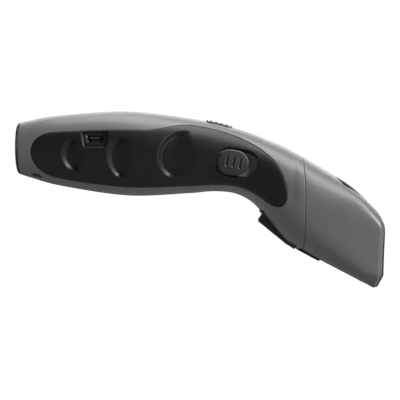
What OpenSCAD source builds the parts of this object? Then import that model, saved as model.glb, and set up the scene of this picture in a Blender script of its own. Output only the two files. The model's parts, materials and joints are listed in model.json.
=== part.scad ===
// Handheld optical code reader: curved grip, angled scanning nose, cordless.
// Lengths are millimetres and angles are degrees.
// The shape is drawn in the handle frame: X runs from the tail to the window, Z is up, Y is across,
// and the user's right side is -Y. stand() then tips it so that it rests on its tail and nose.

/* [Overall] */
// Length along the handle, from tail to window
body_length = 163; // [136:1:196]
// Height in the handle frame, from the crown of the handle to the foot of the nose
body_height = 79; // [66:1:95]
// Width across the nose
body_width = 55; // [46:1:66]

/* [Shell] */
// Wall of the housing and nose
wall = 2.6; // [2.2:0.1:3.1]
// Depth of rubber in the grip recesses
grip_depth = 1.4; // [1.1:0.1:1.6]
// Clearance between parts that fit together
fit = 0.15; // [0.1:0.01:0.2]
// Gap at the joint line between the two housing halves
joint_gap = 0.08; // [0.04:0.01:0.12]
// Depth of the finger scoops in the rubber
scoop_depth = 0.9; // [0.5:0.1:0.95]
// Depth that the front rim of the nose is bevelled
rim_bevel = 1.2; // [0.8:0.1:1.6]

/* [Power slide] */
// Length of the slide knob
knob_length = 13.8; // [11.5:0.1:16.5]
// Width of the slide knob
knob_width = 10.9; // [9:0.1:13]
// Distance the knob slides between off and on
slide_travel = 3.4; // [2.8:0.1:4]
// Slope of the slide against the handle frame
slide_slope = 11; // [8:1:14]

/* [Top button] */
// Length of the top button
button_length = 11.4; // [9.5:0.1:13.6]
// Width of the top button
button_width = 12; // [10:0.1:14.4]
// Distance the button travels
button_travel = 0.6; // [0.5:0.05:0.7]

/* [Trigger] */
// Length of the trigger blade from its hinge
trigger_length = 16.4; // [13.7:0.1:19.6]
// Width of the trigger blade
trigger_width = 15; // [12.5:0.5:18]
// Height of the trigger's free end above the neck
trigger_rise = 3.8; // [3.2:0.1:4.5]
// Swing of the trigger
trigger_swing = 6; // [5:0.5:7]

/* [Battery and boards] */
// Diameter of the rechargeable cell
cell_diameter = 14; // [12:0.5:14.5]
// Length of the cell
cell_length = 50; // [42:1:55]
// Thickness of the circuit boards
board_thickness = 1.6; // [1.3:0.1:1.9]
// Width of the main board
board_width = 24; // [20:1:26]
// How far the main board runs behind the middle of the charging socket
board_behind = 7.59; // [6:0.01:10]
// How far the main board runs ahead of the middle of the top button
board_ahead = 11.81; // [9:0.01:14]

/* [Charging socket] */
// Depth of the mini-USB shell
usb_depth = 9.2; // [8:0.1:10]

/* [Optics] */
// Diameter of the lens barrel
barrel_diameter = 9; // [7.5:0.1:10.8]
// Length of the lens barrel
barrel_length = 9; // [7.5:0.1:10.8]
// Length of the optical chassis
chassis_length = 20; // [17:0.5:23]
// Width of the optical chassis
chassis_width = 30; // [25:0.5:34]
// Height of the optical chassis
chassis_height = 18; // [15:0.5:20]

/* [Hidden] */

// ---- Colours ----
gunmetal = [0.33, 0.34, 0.36];
rubber_black = [0.07, 0.07, 0.08];
trim_black = [0.10, 0.10, 0.11];
steel = [0.72, 0.73, 0.75];
board_green = [0.05, 0.30, 0.16];
chip_black = [0.12, 0.12, 0.13];
gold = [0.80, 0.62, 0.25];
lens_red = [0.25, 0.03, 0.05];
cell_blue = [0.15, 0.32, 0.55];
clear_glass = [0.6, 0.7, 0.8];
led_white = [0.9, 0.85, 0.8];
flex_amber = [0.75, 0.62, 0.35];

// ---- Body lines ----
// Each station: top line [x, z], bottom line [x, z], half width, roundness above and below, corner cut.
base_length = 163;
base_height = 79;
base_width = 55;
stations = [
  [[0, 11.25], [0, -11.4], 10.8, 2.1, 2.1, 2.58],
  [[5.2, 12.4], [6.1, -13.4], 11.8, 2.1, 2.1, 2.58],
  [[18.7, 14.7], [19.6, -17], 14.2, 2.1, 2.1, 2.58],
  [[50.2, 16.5], [49.3, -21.3], 17.4, 2.1, 2.1, 2.58],
  [[81.7, 12.7], [76.3, -20.3], 17.4, 2.1, 2.15, 2.58],
  [[96.1, 9.4], [88, -19.4], 17.4, 2.1, 2.2, 2.58],
  [[107, 5.9], [97.9, -20.5], 18.4, 2.15, 2.35, 2.58],
  [[114.5, 2.8], [106, -25], 20.2, 2.2, 2.6, 2.58],
  [[119.5, 0.5], [112.5, -33], 22, 2.3, 2.8, 2.58],
  [[123.5, -1.6], [119.5, -41], 23.6, 2.4, 3, 2.58],
  [[126.9, -3.5], [126.7, -45.5], 25, 2.5, 3.2, 2.58],
  [[147, -16], [145.5, -55.4], 26.8, 3.7, 6, 2.42],
  [[163.2, -31], [159.6, -62.6], 27.4, 10, 10, 2.2],
];
last_station = len(stations) - 1;
seam_station = 10;
corner_slope = 1.58;
front_bow = 2.1;
front_chin = 1.9;
crown_drop = 4.6;
scale_x = body_length / base_length;
scale_y = body_width / base_width;
scale_z = body_height / base_height;

function blend4(p0, p1, p2, p3, f) =
  0.5 * (2 * p1 + (p2 - p0) * f + (2 * p0 - 5 * p1 + 4 * p2 - p3) * f * f
  + (3 * p1 - p0 - 3 * p2 + p3) * f * f * f);
function column(t, k) =
  let (i = min(floor(t), last_station - 1))
  blend4(stations[max(i - 1, 0)][k], stations[i][k], stations[i + 1][k],
    stations[min(i + 2, last_station)][k], t - i);
function top_line(t) = let (p = column(t, 0)) [p[0] * scale_x, p[1] * scale_z];
function bottom_line(t) = let (p = column(t, 1)) [p[0] * scale_x, p[1] * scale_z];
function half_width(t) = column(t, 2) * scale_y;

// How far the front of the nose bows back at the sides and forward at the chin
function front_share(t) = pow(max(0, t - seam_station - 1), 2);
function front_shift(t, across, up) =
  front_share(t) * (front_chin * min((1 - up) / 1.62, (1 + up) / 0.38) - front_bow * across * across);

// How far the top of the nose arches down towards its sides
function crown_shift(t, across, up) =
  crown_drop * pow(max(0, t - seam_station) / 2, 2) * across * across * max(0, up);

// A point of the skin at station t. across and up are -1 to 1, and inset is the depth below the skin.
function skin_point(t, across, up, inset) =
  let (
    top = top_line(t),
    bottom = bottom_line(t),
    tall = norm(top - bottom) / 2,
    mid = (top + bottom) / 2,
    half = (top - bottom) / 2 * (1 - inset / tall)
  )
  [
    mid[0] + half[0] * up + front_shift(t, across, up),
    across * (half_width(t) - inset),
    mid[1] + half[1] * up - crown_shift(t, across, up)
  ];
function corner_cut(t, across, up) =
  let (c = column(t, 5), s = corner_slope * abs(across) - up)
  s > c ? c / s : 1;
// Direction round the section: 0 is the top, 180 the bottom, on the side given by sin(angle)
function around(t, angle) =
  let (
    power = cos(angle) >= 0 ? column(t, 3) : column(t, 4),
    across = sign(sin(angle)) * pow(abs(sin(angle)), 2 / power),
    up = sign(cos(angle)) * pow(abs(cos(angle)), 2 / power),
    cut = corner_cut(t, across, up)
  )
  [across * cut, up * cut];
function ring_point(t, angle, inset) =
  let (a = around(t, angle))
  skin_point(t, a[0], a[1], inset);
// A point on the right side at a given height of the section
function side_point(t, up, inset) =
  let (power = up >= 0 ? column(t, 3) : column(t, 4))
  skin_point(t, -pow(1 - pow(abs(up), power), 1 / power), up, inset);

// ---- Standing on a table ----
foot = bottom_line(last_station);
tail_tilts = [
  for (i = [0:8])
    let (p = bottom_line(i / 4))
    atan2(p[1] - foot[1], foot[0] - p[0])
];
rest_tilt = min(tail_tilts);
function tipped(p) = [
  p[0] * cos(rest_tilt) - p[2] * sin(rest_tilt),
  p[0] * sin(rest_tilt) + p[2] * cos(rest_tilt)
];
frame_lip = rim_bevel + 0.4;
front_xs = [for (a = [0:7.5:180]) tipped(ring_point(last_station, a, frame_lip))[0]];
front_zs = [for (a = [0:7.5:180]) tipped(ring_point(last_station - 0.25, a, 0))[1]];
tail_top = top_line(0);
tail_back = tipped([tail_top[0], 0, tail_top[1]])[0];
tail_zs = [for (i = [0:16]) let (p = bottom_line(i / 8)) tipped([p[0], 0, p[1]])[1]];
middle_x = (max(front_xs) + tail_back) / 2;
floor_z = min(concat(front_zs, tail_zs));
module stand() translate([-middle_x, 0, -floor_z]) rotate([0, -rest_tilt, 0]) children();

// ---- Lofted solids ----
// quads() joins two neighbouring rows of points, and flips the faces when asked
function quad(a, b, c, d, flip) = flip ? [[a, b, c], [b, d, c]] : [[a, c, b], [b, c, d]];
ring_steps = 14;

// Part of the shell on the right side, between two insets, from station t0 to t1
module half_band(t0, t1, outer, inner, steps) {
  n = steps;
  m = ring_steps;
  w = m + 1;
  function row(i, inset) = [
    for (j = [0:m])
      let (p = ring_point(t0 + (t1 - t0) * i / n, -180 * j / m, inset))
      [p[0], min(p[1], -joint_gap / 2), p[2]]
  ];
  points = concat([for (i = [0:n]) each row(i, outer)], [for (i = [0:n]) each row(i, inner)]);
  o = (n + 1) * w;
  polyhedron(points, concat(
    [for (i = [0:n - 1], j = [0:m - 1]) let (a = i * w + j) each quad(a, a + 1, a + w, a + w + 1, false)],
    [for (i = [0:n - 1], j = [0:m - 1]) let (a = o + i * w + j) each quad(a, a + 1, a + w, a + w + 1, true)],
    [for (i = [0:n - 1], j = [0, m]) let (a = i * w + j) each quad(a, a + w, a + o, a + w + o, j == m)],
    [for (i = [0, n], j = [0:m - 1]) let (a = i * w + j) each quad(a, a + 1, a + o, a + 1 + o, i == 0)]
  ));
}

// A ring all the way round, between an outer and an inner inset that may differ at its two ends
module full_band(rows) {
  n = len(rows) - 1;
  m = 2 * ring_steps;
  points = concat(
    [for (i = [0:n], j = [0:m - 1]) ring_point(rows[i][0], -360 * j / m, rows[i][1])],
    [for (i = [0:n], j = [0:m - 1]) ring_point(rows[i][0], -360 * j / m, rows[i][2])]
  );
  o = (n + 1) * m;
  polyhedron(points, concat(
    [for (i = [0:n - 1], j = [0:m - 1]) let (a = i * m, k = (j + 1) % m)
      each quad(a + j, a + k, a + m + j, a + m + k, false)],
    [for (i = [0:n - 1], j = [0:m - 1]) let (a = o + i * m, k = (j + 1) % m)
      each quad(a + j, a + k, a + m + j, a + m + k, true)],
    [for (i = [0, n], j = [0:m - 1]) let (a = i * m, k = (j + 1) % m)
      each quad(a + j, a + k, a + o + j, a + o + k, i == 0)]
  ));
}

// A closed plug of the section, from station t0 to t1 at one inset
module plug(t0, t1, inset, steps) {
  n = steps;
  m = 2 * ring_steps;
  function row_at(i) = t0 + (t1 - t0) * i / n;
  points = concat(
    [for (i = [0:n], j = [0:m - 1]) ring_point(row_at(i), -360 * j / m, inset)],
    [skin_point(t0, 0, 0, inset), skin_point(t1, 0, 0, inset)]
  );
  o = (n + 1) * m;
  polyhedron(points, concat(
    [for (i = [0:n - 1], j = [0:m - 1]) let (a = i * m, k = (j + 1) % m)
      each quad(a + j, a + k, a + m + j, a + m + k, false)],
    [for (j = [0:m - 1]) [o, j, (j + 1) % m]],
    [for (j = [0:m - 1]) [o + 1, n * m + (j + 1) % m, n * m + j]]
  ));
}

// ---- Places ----
// Each place on the body is [station, height in the section]
tail_start = 0.34;
slide_at = [5.555, -0.08];
usb_at = [2.565, 0.285];
screws_at = [[1.785, -0.07], [3.68, 0.565], [4.262, -0.53], [7.34, -0.09]];
button_at = 4.5;
lanyard_at = [1.318, -0.86];
hinge_at = 9.36;
trigger_back_at = 7.385;
cover_at = [9.925, 10.4525];
board_z = 0.3;
board_top = board_z + board_thickness;
function place(at) = skin_point(at[0], 0, at[1], 0);
module at_place(at) translate([place(at)[0], 0, place(at)[2]]) children();
// Width of the skin from the middle at a place
function reach(at) = -side_point(at[0], at[1], 0)[1];

module stadium(length, width)
  hull() for (s = [-1, 1]) translate([s * (length - width) / 2, 0]) circle(d = width, $fn = 48);
module rounded_box(size, r)
  linear_extrude(size[2]) offset(r = r, $fn = 24) square([size[0] - 2 * r, size[1] - 2 * r], center = true);
module cyl_y(r, y0, y1, fn = 48)
  translate([0, y0, 0]) rotate([-90, 0, 0]) cylinder(r = r, h = y1 - y0, $fn = fn);
// Prism along Y from a profile drawn in [x, z]
module prism_y(y0, y1) translate([0, y1, 0]) rotate([90, 0, 0]) linear_extrude(y1 - y0) children();

// ---- Grips ----
grip_start = 1.14;
grip_end = 8.62;
grip_back_round = 0.8;
grip_front_round = 1.9;
grip_steps = 28;
grip_rows = 9;
grip_floor = grip_depth + 0.05;
function grip_high_line(t) =
  lookup(t, [[1.14, 0.46], [3.35, 0.52], [3.72, 0.8], [5, 0.75], [6, 0.61], [7, 0.46], [8.62, 0.4]]);
function grip_high(t) = (grip_high_line(t - 0.14) + grip_high_line(t) + grip_high_line(t + 0.14)) / 3;
function grip_low(t) = lookup(t, [[1.14, -0.74], [2.2, -0.81], [5, -0.82], [7, -0.76], [8.62, -0.72]]);
function grip_fullness(t) =
  t < grip_start + grip_back_round ? sqrt(1 - pow(1 - (t - grip_start) / grip_back_round, 2))
  : t > grip_end - grip_front_round ? sqrt(1 - pow(1 - (grip_end - t) / grip_front_round, 2))
  : 1;
// Finger scoops: [x, z, half length, half height]
scoops = [[27, -3.5, 4.2, 6.5], [46.5, -5.5, 7, 9], [69.5, -4, 9, 9.5]];
function scoop_share(s, x, z) =
  let (
    dx = (x - s[0] * scale_x) / s[2],
    dz = (z - s[1] * scale_z) / s[3],
    q = dx < 0 ? 4 * dx * dx : dx * dx
  )
  max(0, 1 - q - dz * dz);
function scoop_drop(x, z) = scoop_depth * max([for (s = scoops) scoop_share(s, x, z)]);

// The grip's patch of the right side, between two depths and grown by a margin all round
module grip_patch(outer, inner, margin, scooped) {
  n = grip_steps;
  m = grip_rows;
  w = m + 1;
  t0 = grip_start;
  t1 = grip_end;
  function row(i, inset) =
    let (
      t = t0 + (t1 - t0) * (1 - cos(180 * i / n)) / 2,
      tall = norm(top_line(t) - bottom_line(t)) / 2,
      grow = margin / tall,
      middle = (grip_high(t) + grip_low(t)) / 2,
      half = (grip_high(t) - grip_low(t)) / 2 * max(0.14, grip_fullness(t)) + grow,
      shift = i == 0 ? -margin / 9 : i == n ? margin / 7 : 0
    )
    [
      for (j = [0:m])
        let (
          up = middle + half * (2 * j / m - 1),
          p = side_point(t + shift, up, 0),
          drop = scooped && inset == outer ? scoop_drop(p[0], p[2]) : 0
        )
        side_point(t + shift, up, inset + drop)
    ];
  points = concat([for (i = [0:n]) each row(i, outer)], [for (i = [0:n]) each row(i, inner)]);
  o = (n + 1) * w;
  polyhedron(points, concat(
    [for (i = [0:n - 1], j = [0:m - 1]) let (a = i * w + j) each quad(a, a + 1, a + w, a + w + 1, true)],
    [for (i = [0:n - 1], j = [0:m - 1]) let (a = o + i * w + j) each quad(a, a + 1, a + w, a + w + 1, false)],
    [for (i = [0:n - 1], j = [0, m]) let (a = i * w + j) each quad(a, a + w, a + o, a + w + o, j == 0)],
    [for (i = [0, n], j = [0:m - 1]) let (a = i * w + j) each quad(a, a + 1, a + o, a + 1 + o, i == n)]
  ));
}

// Slide slot, shared by the right grip, the housing pocket and the knob
slot_gap = 0.4;
slot_length = knob_length + slide_travel + 2 * slot_gap;
slot_width = knob_width + 1.3;
slide_reach = reach(slide_at);
pocket_floor = slide_reach - 3;
module slide_frame() at_place(slide_at) rotate([0, slide_slope, 0]) children();
module slide_slot(y0, y1) slide_frame() prism_y(y0, y1) stadium(slot_length, slot_width);

// Charging socket opening, wider at the top. The shell's section is the standard mini-USB one.
usb_width = 7.7;
usb_height = 3.9;
usb_taper = 0.8;
module trapezoid(top, bottom, tall)
  polygon([[-top / 2, tall / 2], [top / 2, tall / 2], [bottom / 2, -tall / 2], [-bottom / 2, -tall / 2]]);
usb_x = place(usb_at)[0];
usb_z = board_top + usb_height / 2;
usb_mouth = reach(usb_at) - grip_floor - 0.3;
usb_step = reach(usb_at) - 0.75;
module usb_profile(margin, drop) translate([usb_x, usb_z])
  trapezoid(usb_width + 2 * margin, usb_width - 2 * drop + 2 * margin, usb_height + 2 * margin);

module grip_right() {
  color(rubber_black) stand() resize([0, 0, 0]) difference() {
    grip_patch(0, grip_depth, 0, true);
    slide_slot(-40, -8);
    prism_y(-40, -usb_step) usb_profile(2.2, 1.3);
    prism_y(-40, -8) usb_profile(0.3, usb_taper);
  }
}
module grip_left() {
  color(rubber_black) stand() mirror([0, 1, 0]) grip_patch(0, grip_depth, 0, true);
}

// ---- Housing ----
boss_radius = 3;
screw_pilot = 0.9;
screw_clearance = 1.2;
screw_head_radius = 2;
screw_head_height = 1.6;
screw_seat = 5;
screw_tip = -7;
lip_start = seam_station - 0.2;
lip_end = seam_station + 0.5;
lip_outer = wall / 2 + fit;
lip_inner = wall + 0.25;

// Frame at the trigger's hinge: X runs up the neck, Z points out of it
hinge_point = bottom_line(hinge_at);
trigger_run = bottom_line(trigger_back_at) - hinge_point;
trigger_turn = atan2(-trigger_run[1], trigger_run[0]);
module trigger_frame()
  translate([hinge_point[0], 0, hinge_point[1]]) rotate([0, trigger_turn, 0]) children();
bezel_wall = 1.4;
bezel_gap = 0.35;
bezel_proud = 0.3;
bezel_depth = 4.6;
bezel_inner = [trigger_length + 3.4, trigger_width + 2 * bezel_gap];
bezel_outer = bezel_inner + [2 * bezel_wall, 2 * bezel_wall];
bezel_middle = trigger_length / 2;
pin_radius = 1;
pin_depth = 1.6;
hub_radius = 1.6;
module bezel_box(size, z0, z1)
  translate([bezel_middle - size[0] / 2, -size[1] / 2, z0]) cube([size[0], size[1], z1 - z0]);

// Top button opening
button_z = top_line(button_at)[1];
button_x = top_line(button_at)[0];
board_back = usb_x - board_behind;
board_length = button_x + board_ahead - board_back;
button_rise = 0.6;
button_gap = 0.25;
button_corner = 1.6;
module button_box(length, width, z0, z1)
  translate([button_x, 0, z0]) rounded_box([length, width, z1 - z0], button_corner);

// Cover strip under the seam, and the tongue that the nose is screwed to
cover_start = bottom_line(cover_at[0]);
cover_run = bottom_line(cover_at[1]) - cover_start;
cover_length = norm(cover_run);
cover_width = 20;
cover_proud = 0.8;
cover_recess = 0.3;
nose_screw_x = 6.4;
nose_screw_y = 6;
nose_head_height = 1;
tongue_width = 18.6;
tongue_start = wall + 0.2;
tongue_end = 6;
module cover_frame()
  translate([cover_start[0], 0, cover_start[1]]) rotate([0, atan2(-cover_run[1], cover_run[0]), 0]) children();
module centre_block(length, width, z0, z1, x0 = 0)
  translate([x0, -width / 2, z0]) cube([length, width, z1 - z0]);
module each_nose_screw()
  cover_frame() for (s = [-1, 1]) translate([nose_screw_x, s * nose_screw_y, 0]) children();

// Guides that hold the long edges of the main board
guide_start = board_back + board_length * 0.24;
guide_length = board_length * 0.62;
guide_rib = 1.7;
guide_reach = 1;
module board_guide() difference() {
  translate([guide_start, -base_width / 2, board_z - guide_rib])
    cube([guide_length, base_width / 2 - board_width / 2 + guide_reach, board_thickness + 2 * guide_rib]);
  translate([guide_start - 1, -board_width / 2 - fit, board_z])
    cube([guide_length + 2, board_width, board_thickness + 0.05]);
}

// Solid inside the skin on the right side, which trims bosses and ribs
module right_core(inset) intersection() {
  plug(tail_start, seam_station + 0.6, inset, 14);
  translate([-20, -80, -200]) cube([300, 80 - joint_gap / 2, 400]);
}

module housing_supports(left) {
  for (at = screws_at) at_place(at) cyl_y(boss_radius, -40, 1, 32);
  board_guide();
  if (!left) slide_frame()
    prism_y(-slide_reach - 1, -pocket_floor + 1.8) stadium(slot_length + 3, slot_width + 3);
}
// Tongue that the nose screws bite into, held by the lip at its sides
module tongue() cover_frame() difference() {
  centre_block(9.4, tongue_width + 8, 1.6, tongue_end, -0.5);
  centre_block(14, tongue_width + 1, -3, tongue_start, -1);
}

// The right half. The left half is its mirror image, without the openings for the socket and slide
module housing_half(left) {
  difference() {
    resize([0, 0, 0]) difference() {
      union() {
        half_band(tail_start, seam_station, 0, wall, 24);
        difference() {
          half_band(lip_start, lip_end, lip_outer, lip_inner, 4);
          cover_frame() centre_block(14, tongue_width + 1, -3, tongue_start);
        }
        intersection() {
          housing_supports(left);
          right_core(wall - 0.5);
        }
        intersection() {
          tongue();
          right_core(lip_outer);
        }
      }
      grip_patch(-3, grip_floor, fit, false);
      trigger_frame() bezel_box(bezel_outer + [2 * fit, 2 * fit], -bezel_depth - 1, 12);
      button_box(button_length + 2 * button_gap, button_width + 2 * button_gap, board_top + 2, 30);
      cover_frame() centre_block(cover_length + 2 * fit, cover_width + 2 * fit, -6, cover_recess, -fit);
      lanyard_slot();
      if (!left) slide_slot(-40, -pocket_floor);
      if (!left) slide_frame() prism_y(-30, -5) stadium(slide_travel + 5, 3);
      if (!left) prism_y(-40, -8) usb_profile(0.3, usb_taper);
    }
    for (at = screws_at) at_place(at) screw_bore(left);
    each_nose_screw() translate([0, 0, 1]) cylinder(r = screw_pilot, h = 7, $fn = 32);
  }
}
module screw_bore(left) {
  if (left) {
    cyl_y(screw_clearance, -40, 1);
    cyl_y(screw_head_radius + fit, -40, -screw_seat);
  } else {
    cyl_y(screw_pilot, screw_tip - 1, 1);
  }
}
module lanyard_slot() {
  at = place(lanyard_at);
  translate([at[0], 0, -1]) rotate([-30, 0, 0]) translate([0, 0, -24]) linear_extrude(18) stadium(4.4, 2.4);
}
module housing_right() {
  color(gunmetal) stand() housing_half(false);
}
module housing_left() {
  color(gunmetal) stand() mirror([0, 1, 0]) housing_half(true);
}

// Tail cap: a flat plate with a rim that plugs into the two halves
module tail_cap() {
  plate = top_line(tail_start)[0] - 0.06;
  color(trim_black) stand() resize([0, 0, 0]) union() {
    rotate([90, 0, 90]) linear_extrude(plate)
      polygon([for (a = [0:7.5:352.5]) let (p = ring_point(0, a, 0)) [p[1], p[2]]]);
    full_band([[0.1, wall + fit, wall + 1.4], [1, wall + fit, wall + 1.4]]);
  }
}

// ---- Nose ----
rim_start = last_station - 0.255;
rim_end = last_station - 0.082;
vent_start = 10.72;
vent_slope = atan2(top_line(10.9)[1] - top_line(rim_end)[1], top_line(rim_end)[0] - top_line(10.9)[0]);
ledge_length = 10;
ledge_width = 16;
flange_thickness = 2;
chassis_screw_y = chassis_width / 2 + 2.3;
chassis_screw_x = 3;
optics_turn = 24;
optics_at = (top_line(10.6) + bottom_line(10.6)) / 2;
module optics_frame() translate([optics_at[0], 0, optics_at[1]]) rotate([0, optics_turn, 0]) children();
module each_chassis_screw()
  optics_frame() for (s = [-1, 1]) translate([chassis_screw_x, s * chassis_screw_y, 0]) children();

// Vent grooves: [middle in Y, width, start further forward]
vent_grooves = [[-15.8, 7.4, 3.2], [-5.2, 7.2, 0.6], [5.2, 7.2, 0.6], [15.8, 7.4, 3.2]];
module vent_cutters() {
  p = top_line(10.8);
  translate([p[0], 0, p[1]]) rotate([0, vent_slope, 0])
    for (g = vent_grooves) translate([g[2], g[0] - g[1] / 2, -5]) cube([60, g[1], 20]);
}
module nose_housing() {
  color(gunmetal) stand() difference() {
    resize([0, 0, 0]) difference() {
      union() {
        full_band([
          [seam_station + 0.02, 0, wall / 2], [seam_station + 0.15, 0, wall / 2],
          [seam_station + 0.325, 0, wall / 2], [lip_end + 0.05, 0, wall / 2], [lip_end + 0.06, 0, wall],
          [10.85, 0, wall], [11.15, 0, wall], [11.45, 0, wall], [rim_start, 0, wall], [rim_end, rim_bevel, wall]
        ]);
        intersection() {
          union() {
            cover_frame() centre_block(8, tongue_width, -2, wall, 1.8);
            optics_frame() for (s = [-1, 1]) mirror([0, s > 0 ? 0 : 1, 0])
              translate([-2, chassis_width / 2 + 0.3, -5])
                cube([ledge_length, ledge_width, 5 - flange_thickness / 2]);
          }
          plug(seam_station + 0.05, rim_start, wall / 2 - 0.3, 8);
        }
      }
      vent_cutters();
      cover_frame() centre_block(cover_length + 2 * fit, cover_width + 2 * fit, -6, cover_recess, -fit);
    }
    each_nose_screw() cylinder(r = screw_clearance, h = 4, $fn = 32);
    each_nose_screw()
      cylinder(r = screw_head_radius + fit, h = cover_recess + nose_head_height + 0.1, $fn = 32);
    each_chassis_screw() translate([0, 0, -4.5]) cylinder(r = screw_pilot, h = 6, $fn = 32);
  }
}
module nose_vent_insert() {
  outer = wall + fit;
  inner = wall + 1.4;
  color(trim_black) stand() resize([0, 0, 0]) intersection() {
    full_band([[vent_start, outer, inner], [11.2, outer, inner], [insert_end, outer, inner]]);
    insert_box();
  }
}
insert_end = 11.68;
insert_width = 42;
module insert_box() {
  start = top_line(vent_start);
  translate([start[0] - 20, -insert_width / 2, start[1] - 20]) cube([60, insert_width, 40]);
}

// Window: a frame, with the lens behind its lip and a gasket behind the lens
frame_thickness = 1.6;
frame_overlap = 1;
lens_back = rim_end - 0.071;
lens_front = rim_end - 0.005;
gasket_width = 1.7;
module window_frame() {
  inner = wall + frame_thickness;
  lip_at = rim_end + 0.006;
  color(trim_black) stand() full_band([
    [rim_start - 0.025, wall + fit, inner], [lip_at, wall + fit, inner],
    [lip_at, rim_bevel + 0.2, inner + frame_overlap], [last_station, frame_lip, inner + frame_overlap]
  ]);
}
module window_lens() {
  color(lens_red) stand() plug(lens_back, lens_front, wall + frame_thickness + 0.1, 1);
}
module window_gasket() {
  outer = wall + frame_thickness + 0.15;
  inner = outer + gasket_width;
  color(trim_black) stand() full_band([[lens_back - 0.062, outer, inner], [lens_back - 0.003, outer, inner]]);
}
module seam_cover() {
  color(trim_black) stand() cover_frame()
    centre_block(cover_length, cover_width, -cover_proud, cover_recess - 0.02);
}

// ---- Charging socket ----
module usb_port() {
  color(steel) stand() difference() {
    prism_y(-usb_mouth, -usb_mouth + usb_depth) usb_profile(0, usb_taper);
    prism_y(-usb_mouth - 1, -usb_mouth + usb_depth - 1.5) usb_profile(-0.35, usb_taper - 0.2);
  }
}
module usb_tongue() {
  color(chip_black) stand()
    translate([usb_x - 2.2, -usb_mouth + 0.8, usb_z - 0.4]) cube([4.4, usb_depth - 2.3, 0.8]);
}

// ---- Power slide ----
knob_proud = 0.5;
knob_back = pocket_floor + 0.05;
switch_depth = 4.6;
switch_back = pocket_floor - 3.7;
module power_slider() {
  top = slide_reach + knob_proud;
  color(rubber_black) stand() slide_frame() translate([-slide_travel / 2, 0, 0]) difference() {
    union() {
      prism_y(-top, -knob_back) stadium(knob_length, knob_width);
      prism_y(-knob_back - 0.5, -switch_back) square([3.4, 2.2], center = true);
    }
    for (x = [-3.1, 0, 3.1]) translate([x, -top - 3.2, 0]) cylinder(r = 3.6, h = 30, center = true, $fn = 48);
  }
}
module switch_lever() {
  color(chip_black) stand() slide_frame() translate([-slide_travel / 2, 0, 0])
    prism_y(-switch_back, -switch_back + 1.8) square([1.6, 1.6], center = true);
}
module power_switch() {
  color(steel) stand() slide_frame() difference() {
    prism_y(-switch_back + 0.3, -switch_back + 0.3 + switch_depth) square([11, 4.4], center = true);
    prism_y(-switch_back - 1, -switch_back + 2.4) square([slide_travel + 2.6, 2.2], center = true);
  }
}
module switch_board() {
  at = place(slide_at);
  front = -switch_back + 0.3 + switch_depth;
  color(board_green) stand() translate([at[0] - 6, front, at[2] - 4]) cube([12, 1.2, board_z - at[2] + 4]);
}

// ---- Top button ----
flange_top = 5.2;
plunger_radius = 1.6;
button_switch_height = 1.6;
button_switch_top = board_top + button_switch_height;
plunger_overlap = 0.6;
module top_button() {
  color(rubber_black) stand() resize([0, 0, 0]) union() {
    difference() {
      intersection() {
        button_box(button_length, button_width, flange_top - 0.5, 30);
        plug(3.9, 5.2, -button_rise, 10);
      }
      for (i = [-1.5:1:1.5]) {
        x = button_x + i * button_length / 4.9;
        z = button_z - (x - button_x) * 0.24 + button_rise;
        translate([x, 0, z]) rotate([0, 45, 0]) cube([0.9, 40, 0.9], center = true);
      }
    }
    button_box(button_length + 2, button_width + 1.6, flange_top - 1, flange_top);
  }
}
module button_plunger() {
  color(chip_black) stand() translate([button_x, 0, button_switch_top - plunger_overlap])
    cylinder(r = plunger_radius, h = flange_top - 1 - button_switch_top + plunger_overlap, $fn = 48);
}
module button_switch() {
  color(steel) stand() translate([button_x, 0, board_top]) difference() {
    translate([-3, -3, 0]) cube([6, 6, button_switch_height]);
    translate([0, 0, button_switch_height - plunger_overlap - button_travel - 0.1])
      cylinder(r = plunger_radius + fit, h = 3, $fn = 48);
  }
}

// ---- Trigger ----
module trigger() {
  tip = trigger_length;
  color(rubber_black) stand() trigger_frame() difference() {
    union() {
      prism_y(-trigger_width / 2, trigger_width / 2) polygon([
        [-1.2, 0.7], [0, 1.1], [tip * 0.98, trigger_rise], [tip + 0.5, trigger_rise - 0.6],
        [tip + 1.3, 0.5], [tip + 1.3, -3], [tip - 4, -4.1], [1.6, -3.5], [-1.2, -3.2]
      ]);
      translate([0, 0, -pin_depth]) cyl_y(hub_radius, -trigger_width / 2, trigger_width / 2);
    }
    translate([-4, -spring_length / 2 - 0.4, -8]) cube([9, spring_length + 0.8, 8.15]);
    translate([0, 0, -pin_depth]) cyl_y(pin_radius + 0.05, -30, 30);
  }
}
module trigger_pin() {
  color(steel) stand() trigger_frame() translate([0, 0, -pin_depth])
    cyl_y(pin_radius, -bezel_outer[1] / 2, bezel_outer[1] / 2);
}
shelf_back = 8.5 + trigger_length * sin(trigger_swing);
module trigger_bezel() {
  back = bezel_middle + bezel_outer[0] / 2;
  color(trim_black) stand() trigger_frame() difference() {
    union() {
      bezel_box(bezel_outer, -bezel_depth, bezel_proud);
      translate([9, -6, -shelf_back]) cube([back - 9, 12, 1.2]);
      translate([back - bezel_wall, -6, -shelf_back]) cube([bezel_wall, 12, shelf_back - bezel_depth + 0.5]);
    }
    bezel_box(bezel_inner, -bezel_depth - 0.01, 12);
    translate([0, 0, -pin_depth]) cyl_y(pin_radius, -30, 30);
  }
}
module trigger_switch() {
  color(steel) stand() trigger_frame() translate([trigger_length - 3.4, 0, -shelf_back + 1.2]) union() {
    translate([-3, -3, 0]) cube([6, 6, 2]);
    cylinder(r = 1.5, h = 2.9, $fn = 32);
  }
}
spring_wire = 0.25;
spring_radius = 1.35;
spring_pitch = 0.62;
spring_length = 4.4;
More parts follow.
